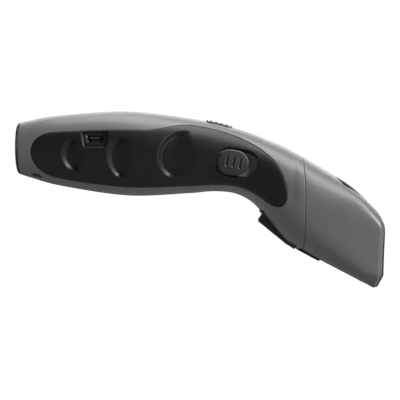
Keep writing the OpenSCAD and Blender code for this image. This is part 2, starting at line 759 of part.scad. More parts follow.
module trigger_spring() {
  color(steel) stand() trigger_frame() translate([0, 0, -pin_depth]) union() {
    for (i = [-3:3]) translate([0, i * spring_pitch, 0]) rotate([90, 0, 0])
      rotate_extrude($fn = 32) translate([spring_radius, 0]) circle(r = spring_wire, $fn = 16);
    translate([0, 0, -spring_radius]) rotate([90, 0, 0])
      cylinder(r = 0.12, h = spring_length, center = true, $fn = 16);
    translate([0, -spring_length / 2, -spring_radius]) rotate([0, 90, 0])
      cylinder(r = 0.2, h = spring_length, $fn = 16);
  }
}

// ---- Boards ----
// The main board, with its front corners cut to clear the shell
board_front_cut = [12, 5];
module main_board() {
  long = board_length;
  side = board_width / 2;
  cut = board_front_cut;
  color(board_green) stand() translate([board_back, 0, board_z]) linear_extrude(board_thickness) polygon([
    [0, -side], [long - cut[0], -side], [long, -side + cut[1]],
    [long, side - cut[1]], [long - cut[0], side], [0, side]
  ]);
}
// A box on the board, placed by its middle as a share of the board's length and half width
module on_board(along, across, size)
  translate([board_back + along * board_length, across * board_width / 2, board_top])
    translate([-size[0] / 2, -size[1] / 2, 0]) cube(size);
module board_chips() {
  color(chip_black) stand() {
    on_board(0.432, 0.375, [10, 10, 1.2]);
    on_board(0.23, 0.417, [6, 8, 1]);
    on_board(0.973, 0, [3, 12, 1.4]);
    on_board(0.324, -0.625, [4, 4, 0.9]);
    on_board(0.716, 0.333, [3.2, 2.5, 1]);
    for (along = [0.04, 0.108, 0.176]) on_board(along, 0.583, [2, 1.2, 0.8]);
  }
}
module wireless_module() {
  color(steel) stand() on_board(0.419, -0.5, [9, 9, 2]);
}
module beeper() {
  color(chip_black) stand()
    translate([board_back + 0.689 * board_length, -0.417 * board_width / 2, board_top]) difference() {
      cylinder(r = 4, h = 2.4, $fn = 48);
      translate([0, 0, 1.8]) cylinder(r = 0.8, h = 2, $fn = 24);
    }
}

// ---- Battery ----
cell_back = 24;
cell_z = board_z - 0.9 - cell_diameter / 2;
module cell_frame() translate([cell_back, 0, cell_z]) rotate([0, 90, 0]) children();
module battery_cell() {
  color(cell_blue) stand() cell_frame() union() {
    cylinder(d = cell_diameter, h = cell_length - 1, $fn = 64);
    cylinder(d = cell_diameter * 0.35, h = cell_length, $fn = 32);
  }
}
cradle_width = 19.2;
module battery_cradle() {
  color(chip_black) stand() resize([0, 0, 0]) difference() {
    intersection() {
      translate([cell_back - 2.4, -cradle_width / 2, cell_z - 12]) cube([cell_length + 4.8, cradle_width, 12]);
      plug(1.7, 4.2, wall + 2 * fit, 12);
    }
    translate([-0.4, 0, 0]) cell_frame() cylinder(d = cell_diameter + 0.1, h = cell_length + 0.8, $fn = 48);
  }
}
module battery_contacts() {
  color(gold) stand() cell_frame() {
    translate([-3.5, -3, -0.4]) cube([7, 6, 0.4]);
    translate([-3.5, -3, cell_length]) cube([7, 6, 0.4]);
  }
}

// ---- Optics ----
module optics_chassis() {
  color(chip_black) stand() optics_frame() difference() {
    union() {
      translate([-chassis_length / 2, -chassis_width / 2, -chassis_height / 2])
        cube([chassis_length, chassis_width, chassis_height]);
      translate([-2, -chassis_width / 2 - 5, -flange_thickness / 2])
        cube([ledge_length, chassis_width + 10, flange_thickness]);
      translate([chassis_length / 2 - 4, -11, -chassis_height / 2 - 5]) cube([4, 22, 6]);
    }
    translate([-chassis_length / 2 - 1, -10, -6]) cube([6, 20, 12]);
    rotate([0, 90, 0]) cylinder(d = barrel_diameter, h = 60, $fn = 64);
    rotate([0, 90, 0]) translate([0, 0, -30]) cylinder(d = barrel_diameter - 2, h = 40, $fn = 64);
    for (s = [-1, 1]) translate([chassis_screw_x, s * chassis_screw_y, -5])
      cylinder(r = screw_clearance, h = 10, $fn = 32);
  }
}
module lens_barrel() {
  back = chassis_length / 2 - barrel_length + 4;
  color(trim_black) stand() optics_frame() rotate([0, 90, 0]) translate([0, 0, back]) difference() {
    cylinder(d = barrel_diameter, h = barrel_length, $fn = 64);
    translate([0, 0, 2]) cylinder(d = barrel_diameter - 2, h = barrel_length, $fn = 64);
    translate([0, 0, -1]) cylinder(d = barrel_diameter - 4, h = 5, $fn = 64);
  }
}
module lens_glass() {
  back = chassis_length / 2 + 0.8;
  color(clear_glass) stand() optics_frame() rotate([0, 90, 0]) translate([0, 0, back]) intersection() {
    cylinder(d = barrel_diameter - 2, h = 3, $fn = 64);
    translate([0, 0, -8]) sphere(d = 20, $fn = 64);
  }
}
module sensor_board() {
  color(board_green) stand() optics_frame() union() {
    translate([-chassis_length / 2 - board_thickness, -12, -8]) cube([board_thickness, 24, 16]);
    translate([-chassis_length / 2, -4, -4]) cube([1.2, 8, 8]);
  }
}
module led_board() {
  color(board_green) stand() optics_frame()
    translate([chassis_length / 2, -11, -chassis_height / 2 - 5]) cube([board_thickness, 22, 4.6]);
}
module aiming_leds() {
  front = chassis_length / 2 + board_thickness;
  color(led_white) stand() optics_frame() for (y = [-7.5, -2.5, 2.5, 7.5])
    translate([front, y, -chassis_height / 2 - 2.7]) rotate([0, 90, 0]) union() {
      cylinder(d = 3, h = 1.8, $fn = 32);
      translate([0, 0, 1.8]) sphere(d = 3, $fn = 32);
    }
}
// Flat cable from the main board to the back of the sensor board
cable_thickness = 0.3;
module optics_cable() {
  back = -(chassis_length / 2 + board_thickness + 0.2);
  height = 5;
  tail = optics_at + [
    back * cos(optics_turn) + height * sin(optics_turn),
    -back * sin(optics_turn) + height * cos(optics_turn)
  ];
  start = [board_back + board_length + 0.3, board_top - 0.6];
  run = tail - start;
  path = [
    start, start + [0.03 * run[0], 0], start + [0.32 * run[0], 0.03 * run[1]],
    start + [0.55 * run[0], 0.24 * run[1]], start + [0.72 * run[0], 0.52 * run[1]],
    start + [0.88 * run[0], 0.83 * run[1]], tail
  ];
  color(flex_amber) stand() prism_y(-5, 5) for (i = [0:len(path) - 2]) hull() {
    translate(path[i]) circle(d = cable_thickness, $fn = 16);
    translate(path[i + 1]) circle(d = cable_thickness, $fn = 16);
  }
}

// ---- Screws ----
module screw(length, radius, head_radius, head_height) difference() {
  union() {
    cylinder(r = radius, h = length, $fn = 32);
    translate([0, 0, -head_height]) cylinder(r = head_radius, h = head_height, $fn = 32);
  }
  for (a = [0, 90]) rotate([0, 0, a]) translate([-1.1, -0.3, -head_height - 0.1]) cube([2.2, 0.6, 0.8]);
}
module housing_screws() {
  color(steel) stand() for (at = screws_at) at_place(at) translate([0, screw_seat, 0]) rotate([90, 0, 0])
    screw(screw_seat - screw_tip, screw_pilot, screw_head_radius, screw_head_height);
}
module nose_screws() {
  color(steel) stand() each_nose_screw() translate([0, 0, cover_recess + nose_head_height])
    screw(4.2, screw_pilot, screw_head_radius, nose_head_height);
}
module chassis_screws() {
  color(steel) stand() each_chassis_screw() translate([0, 0, flange_thickness / 2]) mirror([0, 0, 1])
    screw(5, screw_pilot, screw_head_radius, 1.2);
}

housing_left();
housing_right();
nose_housing();
nose_vent_insert();
window_frame();
window_lens();
window_gasket();
grip_left();
grip_right();
tail_cap();
usb_port();
usb_tongue();
power_slider();
switch_lever();
power_switch();
switch_board();
top_button();
button_plunger();
button_switch();
trigger();
trigger_bezel();
trigger_pin();
trigger_spring();
trigger_switch();
main_board();
board_chips();
wireless_module();
beeper();
battery_cell();
battery_cradle();
battery_contacts();
optics_chassis();
lens_barrel();
lens_glass();
sensor_board();
led_board();
aiming_leds();
optics_cable();
seam_cover();
housing_screws();
nose_screws();
chassis_screws();
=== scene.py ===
import json
import math

import bmesh
import bpy
import numpy as np
from mathutils import Matrix, Vector
from mathutils.geometry import delaunay_2d_cdt


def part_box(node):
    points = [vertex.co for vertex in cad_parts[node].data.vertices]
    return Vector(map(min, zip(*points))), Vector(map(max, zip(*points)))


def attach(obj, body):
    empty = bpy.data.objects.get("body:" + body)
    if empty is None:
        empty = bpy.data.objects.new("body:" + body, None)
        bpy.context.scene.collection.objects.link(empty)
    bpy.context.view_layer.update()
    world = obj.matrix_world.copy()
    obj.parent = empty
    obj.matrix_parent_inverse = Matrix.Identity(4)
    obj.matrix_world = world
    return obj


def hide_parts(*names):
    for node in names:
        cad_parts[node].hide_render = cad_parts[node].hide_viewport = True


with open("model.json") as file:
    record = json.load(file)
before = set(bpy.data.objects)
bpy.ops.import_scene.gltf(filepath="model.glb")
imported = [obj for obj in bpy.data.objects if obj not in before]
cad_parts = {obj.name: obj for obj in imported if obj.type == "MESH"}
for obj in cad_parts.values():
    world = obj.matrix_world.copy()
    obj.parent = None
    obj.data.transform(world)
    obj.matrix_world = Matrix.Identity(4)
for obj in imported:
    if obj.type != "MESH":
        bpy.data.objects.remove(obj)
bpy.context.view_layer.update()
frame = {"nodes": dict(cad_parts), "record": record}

MM = 0.001

# ----------------------------------------
# The body lines, as in the CAD: each station is the top line (x, z), the bottom line (x, z), the
# half width, the roundness above and below, and the corner cut. Millimetres in the handle frame.
# ----------------------------------------
STATIONS = np.array([
    [0, 11.25, 0, -11.4, 10.8, 2.1, 2.1, 2.58],
    [5.2, 12.4, 6.1, -13.4, 11.8, 2.1, 2.1, 2.58],
    [18.7, 14.7, 19.6, -17, 14.2, 2.1, 2.1, 2.58],
    [50.2, 16.5, 49.3, -21.3, 17.4, 2.1, 2.1, 2.58],
    [81.7, 12.7, 76.3, -20.3, 17.4, 2.1, 2.15, 2.58],
    [96.1, 9.4, 88, -19.4, 17.4, 2.1, 2.2, 2.58],
    [107, 5.9, 97.9, -20.5, 18.4, 2.15, 2.35, 2.58],
    [114.5, 2.8, 106, -25, 20.2, 2.2, 2.6, 2.58],
    [119.5, 0.5, 112.5, -33, 22, 2.3, 2.8, 2.58],
    [123.5, -1.6, 119.5, -41, 23.6, 2.4, 3, 2.58],
    [126.9, -3.5, 126.7, -45.5, 25, 2.5, 3.2, 2.58],
    [147, -16, 145.5, -55.4, 26.8, 3.7, 6, 2.42],
    [163.2, -31, 159.6, -62.6, 27.4, 10, 10, 2.2],
])
LAST = len(STATIONS) - 1
SEAM = 10
TAIL_START = 0.34
CORNER_SLOPE = 1.58
FRONT_BOW = 2.1
FRONT_CHIN = 1.9
CHIN_UP = -0.62
CROWN_DROP = 4.6
WALL = 2.6
RIM_BEVEL = 1.2
RIM_START = LAST - 0.255
RIM_END = LAST - 0.082
FRAME_LIP = RIM_BEVEL + 0.4
GRIP_SEAT = 2.1


def station(t):
    """Every column of the station table at t, by Catmull-Rom blending."""
    t = np.asarray(t, float)
    i = np.clip(np.floor(t).astype(int), 0, LAST - 1)
    f = (t - i)[..., None]
    p0, p1, p2, p3 = (STATIONS[np.clip(i + k, 0, LAST)] for k in (-1, 0, 1, 2))
    return 0.5 * (2 * p1 + (p2 - p0) * f + (2 * p0 - 5 * p1 + 4 * p2 - p3) * f ** 2
                  + (3 * p1 - p0 - 3 * p2 + p3) * f ** 3)


def skin_point(t, across, up, inset=0.0):
    """Points of the skin at station t, where across and up run from -1 to 1."""
    s = station(t)
    top, bottom = s[..., 0:2], s[..., 2:4]
    tall = np.linalg.norm(top - bottom, axis=-1) / 2
    middle = (top + bottom) / 2
    half = (top - bottom) / 2 * (1 - inset / tall)[..., None]
    share = np.maximum(0, np.asarray(t) - SEAM - 1) ** 2
    chin = np.minimum((1 - up) / (1 - CHIN_UP), (1 + up) / (1 + CHIN_UP))
    shift = share * (FRONT_CHIN * chin - FRONT_BOW * across ** 2)
    x = middle[..., 0] + half[..., 0] * up + shift
    arch = CROWN_DROP * (np.maximum(0, np.asarray(t) - SEAM) / 2) ** 2 * across ** 2 * np.maximum(0, up)
    z = middle[..., 1] + half[..., 1] * up - arch
    return np.stack([x, across * (s[..., 4] - inset), z], -1)


# ----------------------------------------
# Standing on the table: the handle frame is tipped until tail and nose both touch the floor
# ----------------------------------------
def tilt_at_rest():
    """The angle that brings the foot of the nose level with the lowest point of the tail."""
    foot = STATIONS[-1, 2:4]
    p = station(np.arange(9) / 4)[:, 2:4]
    return float(np.min(np.arctan2(p[:, 1] - foot[1], foot[0] - p[:, 0])))


TILT = tilt_at_rest()
TIP = np.array([[math.cos(TILT), 0, -math.sin(TILT)], [0, 1, 0], [math.sin(TILT), 0, math.cos(TILT)]])


def origin_shift():
    """Where the handle frame's origin lies in the row frame, from the CAD's tail cap."""
    tail_top = TIP @ np.array([STATIONS[0, 0], 0, STATIONS[0, 1]])
    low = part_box("tail_cap")[0]
    lowest_tail = min((TIP @ np.array([p[2], 0, p[3]]))[2] for p in station(np.arange(17) / 8))
    return np.array([low.x / MM - tail_top[0], 0, -lowest_tail])


SHIFT = origin_shift()


def to_row(points):
    """Handle-frame millimetres to row-frame metres."""
    return (np.asarray(points, float) @ TIP.T + SHIFT) * MM


# ----------------------------------------
# The skin as a smooth map from a flat sheet. x follows the middle line in mm, y runs from 0 at the
# crown to GIRTH at the underside, in equal shares of the section's outline.
# ----------------------------------------
GIRTH = 55.0
ROWS, COLUMNS = 1501, 601
CREASE_SOFTNESS = 0.35


def section_outline(t, samples=360):
    """Half a section from crown to underside on the right, equally spaced: points and inset steps."""
    s = station(t)

    def quarter(power):
        """From the crown or the underside to the side, with more samples where it turns."""
        k = np.linspace(0, 1, samples)
        p = power / 2 + 0.2
        angle = np.pi / 2 * k ** p / (k ** p + (1 - k) ** p)
        return np.stack([np.sin(angle) ** (2 / power), np.cos(angle) ** (2 / power)], 1)

    a = np.vstack([quarter(s[5]), quarter(s[6])[-2::-1] * [1, -1]])
    limit = CORNER_SLOPE * a[:, 0] - a[:, 1]
    a = a * np.where(limit > s[7], s[7] / np.maximum(limit, 1e-9), 1)[:, None]
    ts = np.full(len(a), t)
    points = skin_point(ts, -a[:, 0], a[:, 1])
    inwards = skin_point(ts, -a[:, 0], a[:, 1], 1.0) - points
    step = np.linalg.norm(np.diff(points, axis=0), axis=1)
    length = np.concatenate([[0], np.cumsum(step)])
    even = np.linspace(0, length[-1], COLUMNS)
    both = np.hstack([points, inwards])
    return np.stack([np.interp(even, length, both[:, k]) for k in range(6)], 1), length[-1]


def skin_table():
    """The sections from end to end, each softened a little across its creases."""
    ts = np.linspace(0, LAST, ROWS)
    table = np.zeros((ROWS, COLUMNS, 6))
    for i, t in enumerate(ts):
        line, length = section_outline(t)
        softness = CREASE_SOFTNESS * (COLUMNS - 1) / length
        reach = int(4 * softness) + 1
        kernel = np.exp(-0.5 * (np.arange(-reach, reach + 1) / softness) ** 2)
        kernel /= kernel.sum()
        mirror = np.array([1, -1, 1, 1, -1, 1])
        padded = np.vstack([line[reach:0:-1] * mirror, line, line[-2:-reach - 2:-1] * mirror])
        table[i] = np.stack([np.convolve(padded[:, k], kernel, "valid") for k in range(6)], 1)
    return ts, table


TS, TABLE = skin_table()
MIDDLE_STEPS = np.linalg.norm(np.diff(TABLE[:, COLUMNS // 2, :3], axis=0), axis=1)
MIDDLE_X = np.concatenate([[0], np.cumsum(MIDDLE_STEPS)])


def x_of_t(t):
    return np.interp(t, TS, MIDDLE_X)


def t_of_x(x):
    return np.interp(x, MIDDLE_X, TS)


def look_up(x, y):
    """The skin's point, and its step per millimetre of inset within the section."""
    i = np.clip(t_of_x(np.asarray(x, float)) / LAST * (ROWS - 1), 0, ROWS - 1.0001)
    j = np.clip(np.asarray(y, float) / GIRTH * (COLUMNS - 1), 0, COLUMNS - 1.0001)
    i0, j0 = np.floor(i).astype(int), np.floor(j).astype(int)
    fi, fj = (i - i0)[..., None], (j - j0)[..., None]
    return ((TABLE[i0, j0] * (1 - fi) + TABLE[i0 + 1, j0] * fi) * (1 - fj)
            + (TABLE[i0, j0 + 1] * (1 - fi) + TABLE[i0 + 1, j0 + 1] * fi) * fj)


def skin(x, y):
    """Points of the skin on the right side, in the handle frame."""
    return look_up(x, y)[..., :3]


def section_inset(depth):
    """The skin moved inwards within its own section, by a fixed or varying depth."""
    def place(x, y):
        d = depth(x, y) if callable(depth) else depth
        both = look_up(x, y)
        return both[..., :3] + both[..., 3:] * np.asarray(d)[..., None]
    return place


def slopes(place, x, y, h=0.12):
    """The two surface directions of a mapped sheet, and its outward normal."""
    x, y = np.asarray(x, float), np.asarray(y, float)
    low_x, high_x = np.maximum(x - h, 0), np.minimum(x + h, MIDDLE_X[-1])
    low_y, high_y = np.maximum(y - h, 0), np.minimum(y + h, GIRTH)
    along = (place(high_x, y) - place(low_x, y)) / (high_x - low_x)[..., None]
    round_ = (place(x, high_y) - place(x, low_y)) / (high_y - low_y)[..., None]
    normal = np.cross(round_, along)
    normal /= np.maximum(np.linalg.norm(normal, axis=-1, keepdims=True), 1e-12)
    return along, round_, normal


def skin_normal(x, y):
    return slopes(skin, x, y)[2]


def inset_skin(depth):
    """The same map, a fixed or varying depth below the skin."""
    def place(x, y):
        d = depth(x, y) if callable(depth) else depth
        return skin(x, y) - skin_normal(x, y) * np.asarray(d)[..., None]
    return place


def find(rows, targets, guess):
    """Sheet coordinates where rows @ point = targets, by Newton steps from a guess."""
    rows, targets = np.asarray(rows, float), np.asarray(targets, float)
    q = np.broadcast_to(np.asarray(guess, float), (len(targets), 2)).copy()
    for _ in range(25):
        along, round_, _ = slopes(skin, q[:, 0], q[:, 1])
        miss = targets - skin(q[:, 0], q[:, 1]) @ rows.T
        jac = np.stack([along @ rows.T, round_ @ rows.T], -1)
        jac += np.eye(2) * 1e-9
        step = np.linalg.solve(jac, miss[..., None])[..., 0]
        q = q + np.clip(step, -6, 6) * 0.9
        q[:, 0] = np.clip(q[:, 0], 0.05, MIDDLE_X[-1] - 0.05)
        q[:, 1] = np.clip(q[:, 1], 0.0, GIRTH)
    return q


SIDE_ROWS = [[1, 0, 0], [0, 0, 1]]
PLAN_ROWS = [[1, 0, 0], [0, 1, 0]]


# ----------------------------------------
# Mesh tools. Points are handle-frame millimetres until a mesh is made.
# ----------------------------------------
def inside(points, loop):
    """Which points lie inside a closed loop."""
    x, y = points[:, 0], points[:, 1]
    hit = np.zeros(len(points), bool)
    a, b = loop, np.roll(loop, -1, 0)
    for (ax, ay), (bx, by) in zip(a, b):
        if ay == by:
            continue
        cross = (ay > y) != (by > y)
        hit ^= cross & (x < ax + (y - ay) * (bx - ax) / (by - ay))
    return hit


def area(loop):
    """Signed area of a closed loop."""
    nxt = np.roll(loop, -1, 0)
    return 0.5 * float(np.sum(loop[:, 0] * nxt[:, 1] - nxt[:, 0] * loop[:, 1]))


def triangulate(outer, holes, spacing):
    """Points and triangles that fill a loop, with an even sprinkling of points inside."""
    sx, sy = spacing
    low, high = outer.min(0), outer.max(0)
    xs, ys = np.arange(low[0] + sx / 2, high[0], sx), np.arange(low[1] + sy / 2, high[1], sy)
    gx, gy = np.meshgrid(xs, ys)
    gx = gx + np.where(np.arange(len(ys)) % 2, sx / 2, 0)[:, None]
    grid = np.stack([gx.ravel(), gy.ravel()], 1)
    keep = inside(grid, outer)
    for h in holes:
        keep &= ~inside(grid, h)
    grid = grid[keep]
    scale = np.array([1 / sx, 1 / sy])
    edge = np.vstack([outer, *holes]) * scale
    if len(grid):
        near = np.ones(len(grid), bool)
        for start in range(0, len(grid), 2000):
            block = grid[start:start + 2000] * scale
            gap = ((block[:, None] - edge[None]) ** 2).sum(-1).min(1)
            near[start:start + 2000] = gap > 0.3
        grid = grid[near]
    points, edges, base = [], [], 0
    for loop in (outer, *holes):
        n = len(loop)
        points.append(loop)
        edges += [(base + i, base + (i + 1) % n) for i in range(n)]
        base += n
    points = np.vstack(points + [grid]) * scale
    out = delaunay_2d_cdt([Vector(p) for p in points], edges, [], 0, 1e-7)
    verts = np.array([tuple(v) for v in out[0]]) / scale
    tris = np.array([f for f in out[2]])
    centre = verts[tris].mean(1)
    keep = inside(centre, outer)
    for h in holes:
        keep &= ~inside(centre, h)
    return verts, tris[keep]


class Build:
    """Gathers points and faces, and turns them into one object in the row frame."""

    def __init__(self):
        self.points, self.faces, self.count = [], [], 0

    def add(self, points, faces):
        self.points.append(np.asarray(points, float))
        self.faces += [tuple(int(i) + self.count for i in f) for f in faces]
        self.count += len(points)

    def strips(self, rings, closed=True):
        """Quads between rows of points that have the same count."""
        n = len(rings[0])
        faces = []
        for k in range(len(rings) - 1):
            for i in range(n if closed else n - 1):
                j = (i + 1) % n
                faces.append((k * n + i, k * n + j, (k + 1) * n + j, (k + 1) * n + i))
        self.add(np.vstack(rings), faces)

    def fill(self, outer, holes, spacing, lift):
        verts, tris = triangulate(outer, holes, spacing)
        self.add(lift(verts), tris)

    def fan(self, row):
        """Closes a small ring with triangles round its middle."""
        n = len(row)
        self.add(np.vstack([row, row.mean(0)]), [(i, (i + 1) % n, n) for i in range(n)])

    def mirrored(self):
        """A copy across the middle plane."""
        other = Build()
        other.points = [p * np.array([1, -1, 1]) for p in self.points]
        other.faces = [tuple(reversed(f)) for f in self.faces]
        other.count = self.count
        return other

    def join(self, other):
        shift = self.count
        self.points += other.points
        self.faces += [tuple(i + shift for i in f) for f in other.faces]
        self.count += other.count

    def make(self, name, material, body="root", weld=2e-6, sharp=None):
        """The welded, smooth-shaded object, riding on its body."""
        mesh = bpy.data.meshes.new(name)
        mesh.from_pydata(to_row(np.vstack(self.points)).tolist(), [], self.faces)
        bm = bmesh.new()
        bm.from_mesh(mesh)
        bmesh.ops.remove_doubles(bm, verts=bm.verts, dist=weld)
        bmesh.ops.dissolve_degenerate(bm, edges=bm.edges, dist=1e-7)
        loose = [v for v in bm.verts if not v.link_faces]
        bmesh.ops.delete(bm, geom=loose, context="VERTS")
        bmesh.ops.recalc_face_normals(bm, faces=bm.faces)
        bm.to_mesh(mesh)
        bm.free()
        mesh.polygons.foreach_set("use_smooth", [True] * len(mesh.polygons))
        obj = bpy.data.objects.new(name, mesh)
        bpy.context.scene.collection.objects.link(obj)
        if sharp is not None:
            mesh.set_sharp_from_angle(angle=math.radians(sharp))
        mesh.materials.append(material)
        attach(obj, body)
        return obj


def resample(loop, spacing, closed=True):
    """Even spacing along a line of 2-D or 3-D points."""
    line = np.vstack([loop, loop[:1]]) if closed else loop
    step = np.linalg.norm(np.diff(line, axis=0), axis=1)
    length = np.concatenate([[0], np.cumsum(step)])
    count = max(8, int(round(length[-1] / spacing)))
    even = np.linspace(0, length[-1], count + 1)
    if closed:
        even = even[:-1]
    return np.stack([np.interp(even, length, line[:, k]) for k in range(line.shape[1])], 1)


def rounded(corners, radius, spacing=0.4):
    """A closed outline through corners, each rounded by an arc."""
    corners = np.asarray(corners, float)
    if area(corners) < 0:
        corners = corners[::-1]
    radius = np.broadcast_to(radius, len(corners))
    out = []
    for i, p in enumerate(corners):
        a, b = corners[i - 1], corners[(i + 1) % len(corners)]
        u, v = (a - p) / np.linalg.norm(a - p), (b - p) / np.linalg.norm(b - p)
        half = math.acos(np.clip(np.dot(u, v), -1, 1)) / 2
        r = radius[i]
        cut = r / math.tan(half)
        mid = (u + v) / np.linalg.norm(u + v)
        centre = p + mid * r / math.sin(half)
        start, end = p + u * cut - centre, p + v * cut - centre
        a0, a1 = math.atan2(start[1], start[0]), math.atan2(end[1], end[0])
        turn = (a1 - a0 + math.pi) % (2 * math.pi) - math.pi
        for k in range(7):
            angle = a0 + turn * k / 6
            out.append(centre + r * np.array([math.cos(angle), math.sin(angle)]))
    return resample(np.array(out), spacing)


CORNERS = np.array([(-1, -1), (1, -1), (1, 1), (-1, 1)])


def box_outline(length, width, radius, spacing=0.4):
    return rounded(CORNERS * [length / 2, width / 2], radius, spacing)


def stadium(length, width, spacing=0.4):
    r, straight = width / 2, (length - width) / 2
    a = np.linspace(-np.pi / 2, np.pi / 2, 40)
    right = np.stack([straight + r * np.cos(a), r * np.sin(a)], 1)
    return resample(np.vstack([right, -right]), spacing)


def loop_frames(loop, place, closed=True):
    """Normal of the sheet and the outward direction, as a 3-D vector and as a sheet step."""
    along, round_, normal = slopes(place, loop[:, 0], loop[:, 1])
    if closed:
        step = np.roll(loop, -1, 0) - np.roll(loop, 1, 0)
        sign = 1 if area(loop) > 0 else -1
    else:
        step = np.gradient(loop, axis=0)
        sign = 1
    tangent = along * step[:, :1] + round_ * step[:, 1:]
    tangent /= np.linalg.norm(tangent, axis=1, keepdims=True)
    out = np.cross(tangent, normal)
    jac = np.stack([along, round_], -1)
    inner = np.einsum("nij,nik->njk", jac, jac)
    q = np.linalg.solve(inner, np.einsum("nij,ni->nj", jac, out)[..., None])[..., 0]
    flat = np.stack([step[:, 1], -step[:, 0]], 1) * sign
    flip = np.sign(np.einsum("ni,ni->n", q, flat))[:, None]
    return normal, out * flip, q * flip


# A rolled edge: offsets out of the material's edge, and depths
EDGE = [(-0.34, 0.0), (-0.16, 0.02), (-0.05, 0.09), (0.0, 0.24)]


def edge_rings(loop, place, profile, closed=True, outward=1):
    """Rings along a loop, one for each entry of the profile, and the outward sheet step."""
    normal, out, q = loop_frames(loop, place, closed)
    rings = []
    for offset, depth in profile:
        rings.append(place(*(loop + q * offset * outward).T) - normal * depth)
    return rings, q


def sheet_solid(outline, place, inside_place, spacing, holes=(), pockets=(), profile=EDGE):
    """A closed shell between two maps of one sheet: its top fills the outline and its edges roll down.
    pockets are (loop, depth, holes in its floor)."""
    build = Build()

    def trim(loop, outward, top=0.0, bottom=None):
        """An edge's rings, down to a depth or to the inner map. Returns where the flat part starts."""
        entries = [(o, d + top) for o, d in profile]
        if bottom is not None:
            entries.append((0.0, bottom))
        rings, q = edge_rings(loop, place, entries, True, outward)
        if bottom is None:
            rings.append(inside_place(*loop.T))
        build.strips(rings)
        return loop + q * profile[0][0] * outward

    def level(depth):
        return lambda p: place(*p.T) - slopes(place, *p.T)[2] * depth

    top_outer = trim(outline, 1)
    top_holes = [trim(h, -1) for h in holes]
    low_holes = list(holes)
    for loop, depth, floor_holes in pockets:
        top_holes.append(trim(loop, -1, 0.0, depth))
        inner = [trim(h, -1, depth) for h in floor_holes]
        build.fill(loop, inner, spacing, level(depth))
        low_holes += list(floor_holes)
    build.fill(top_outer, top_holes, spacing, level(0.0))
    build.fill(outline, low_holes, (spacing[0] * 2, spacing[1] * 2), lambda p: inside_place(*p.T))
    return build


def shrink(loop, distance):
    """A 2-D closed outline moved inwards."""
    step = np.roll(loop, -1, 0) - np.roll(loop, 1, 0)
    step /= np.linalg.norm(step, axis=1, keepdims=True)
    sign = 1 if area(loop) > 0 else -1
    return loop + np.stack([-step[:, 1], step[:, 0]], 1) * distance * sign


def prism(outline, low, high, round_low, round_high, to_space, hole=None, top=None, spacing=0.8):
    """A solid between two heights, with rounded rims, placed by to_space(a, b, height).
    top adds a height to every point of the upper side."""
    build = Build()
    quarter = np.linspace(0, np.pi / 2, 5)

    def lift(height, lifted):
        def place(p):
            h = np.full(len(p), height)
            if lifted and top is not None:
                h = h + top(p)
            return to_space(p[:, 0], p[:, 1], h)
        return place

    def side(loop, sign):
        rows = []
        for a in quarter:
            p = shrink(loop, sign * round_low * (1 - math.sin(a)))
            rows.append(lift(low + round_low * (1 - math.cos(a)), False)(p))
        for a in quarter[::-1]:
            p = shrink(loop, sign * round_high * (1 - math.sin(a)))
            rows.append(lift(high - round_high * (1 - math.cos(a)), True)(p))
        build.strips(rows)
        return shrink(loop, sign * round_low), shrink(loop, sign * round_high)

    low_loop, high_loop = side(outline, 1)
    low_holes, high_holes = [], []
    if hole is not None:
        low_hole, high_hole = side(hole, -1)
        low_holes, high_holes = [low_hole], [high_hole]
    build.fill(low_loop, low_holes, (spacing * 2, spacing * 2), lift(low, False))
    build.fill(high_loop, high_holes, (spacing, spacing), lift(high, True))
    return build


def turned_frame(origin_x, origin_z, angle):
    """The X and Z directions of a frame turned about Y, and its origin, as in the CAD."""
    c, s = math.cos(math.radians(angle)), math.sin(math.radians(angle))
    return np.array([origin_x, 0, origin_z]), np.array([c, 0, -s]), np.array([s, 0, c])


def placed(origin, ea, eb, eh):
    """A map from (a, b, height) to the handle frame."""
    return lambda a, b, height: (origin + np.multiply.outer(a, ea) + np.multiply.outer(b, eb)
                                 + np.multiply.outer(height, eh))


def smooth(edge0, edge1, x):
    """0 below the first edge, 1 above the second, and a smooth step between."""
    k = np.clip((x - edge0) / (edge1 - edge0), 0, 1)
    return k * k * (3 - 2 * k)


# ----------------------------------------
# Materials
# ----------------------------------------
def add_node(tree, kind, values=(), **settings):
    """A shader node with its settings and socket values."""
    made = tree.nodes.new("ShaderNode" + kind)
    for key, value in settings.items():
        setattr(made, key, value)
    for key, value in dict(values).items():
        made.inputs[key].default_value = value
    return made


def node_of(tree, kind):
    return next(n for n in tree.nodes if n.bl_idname == "ShaderNode" + kind)


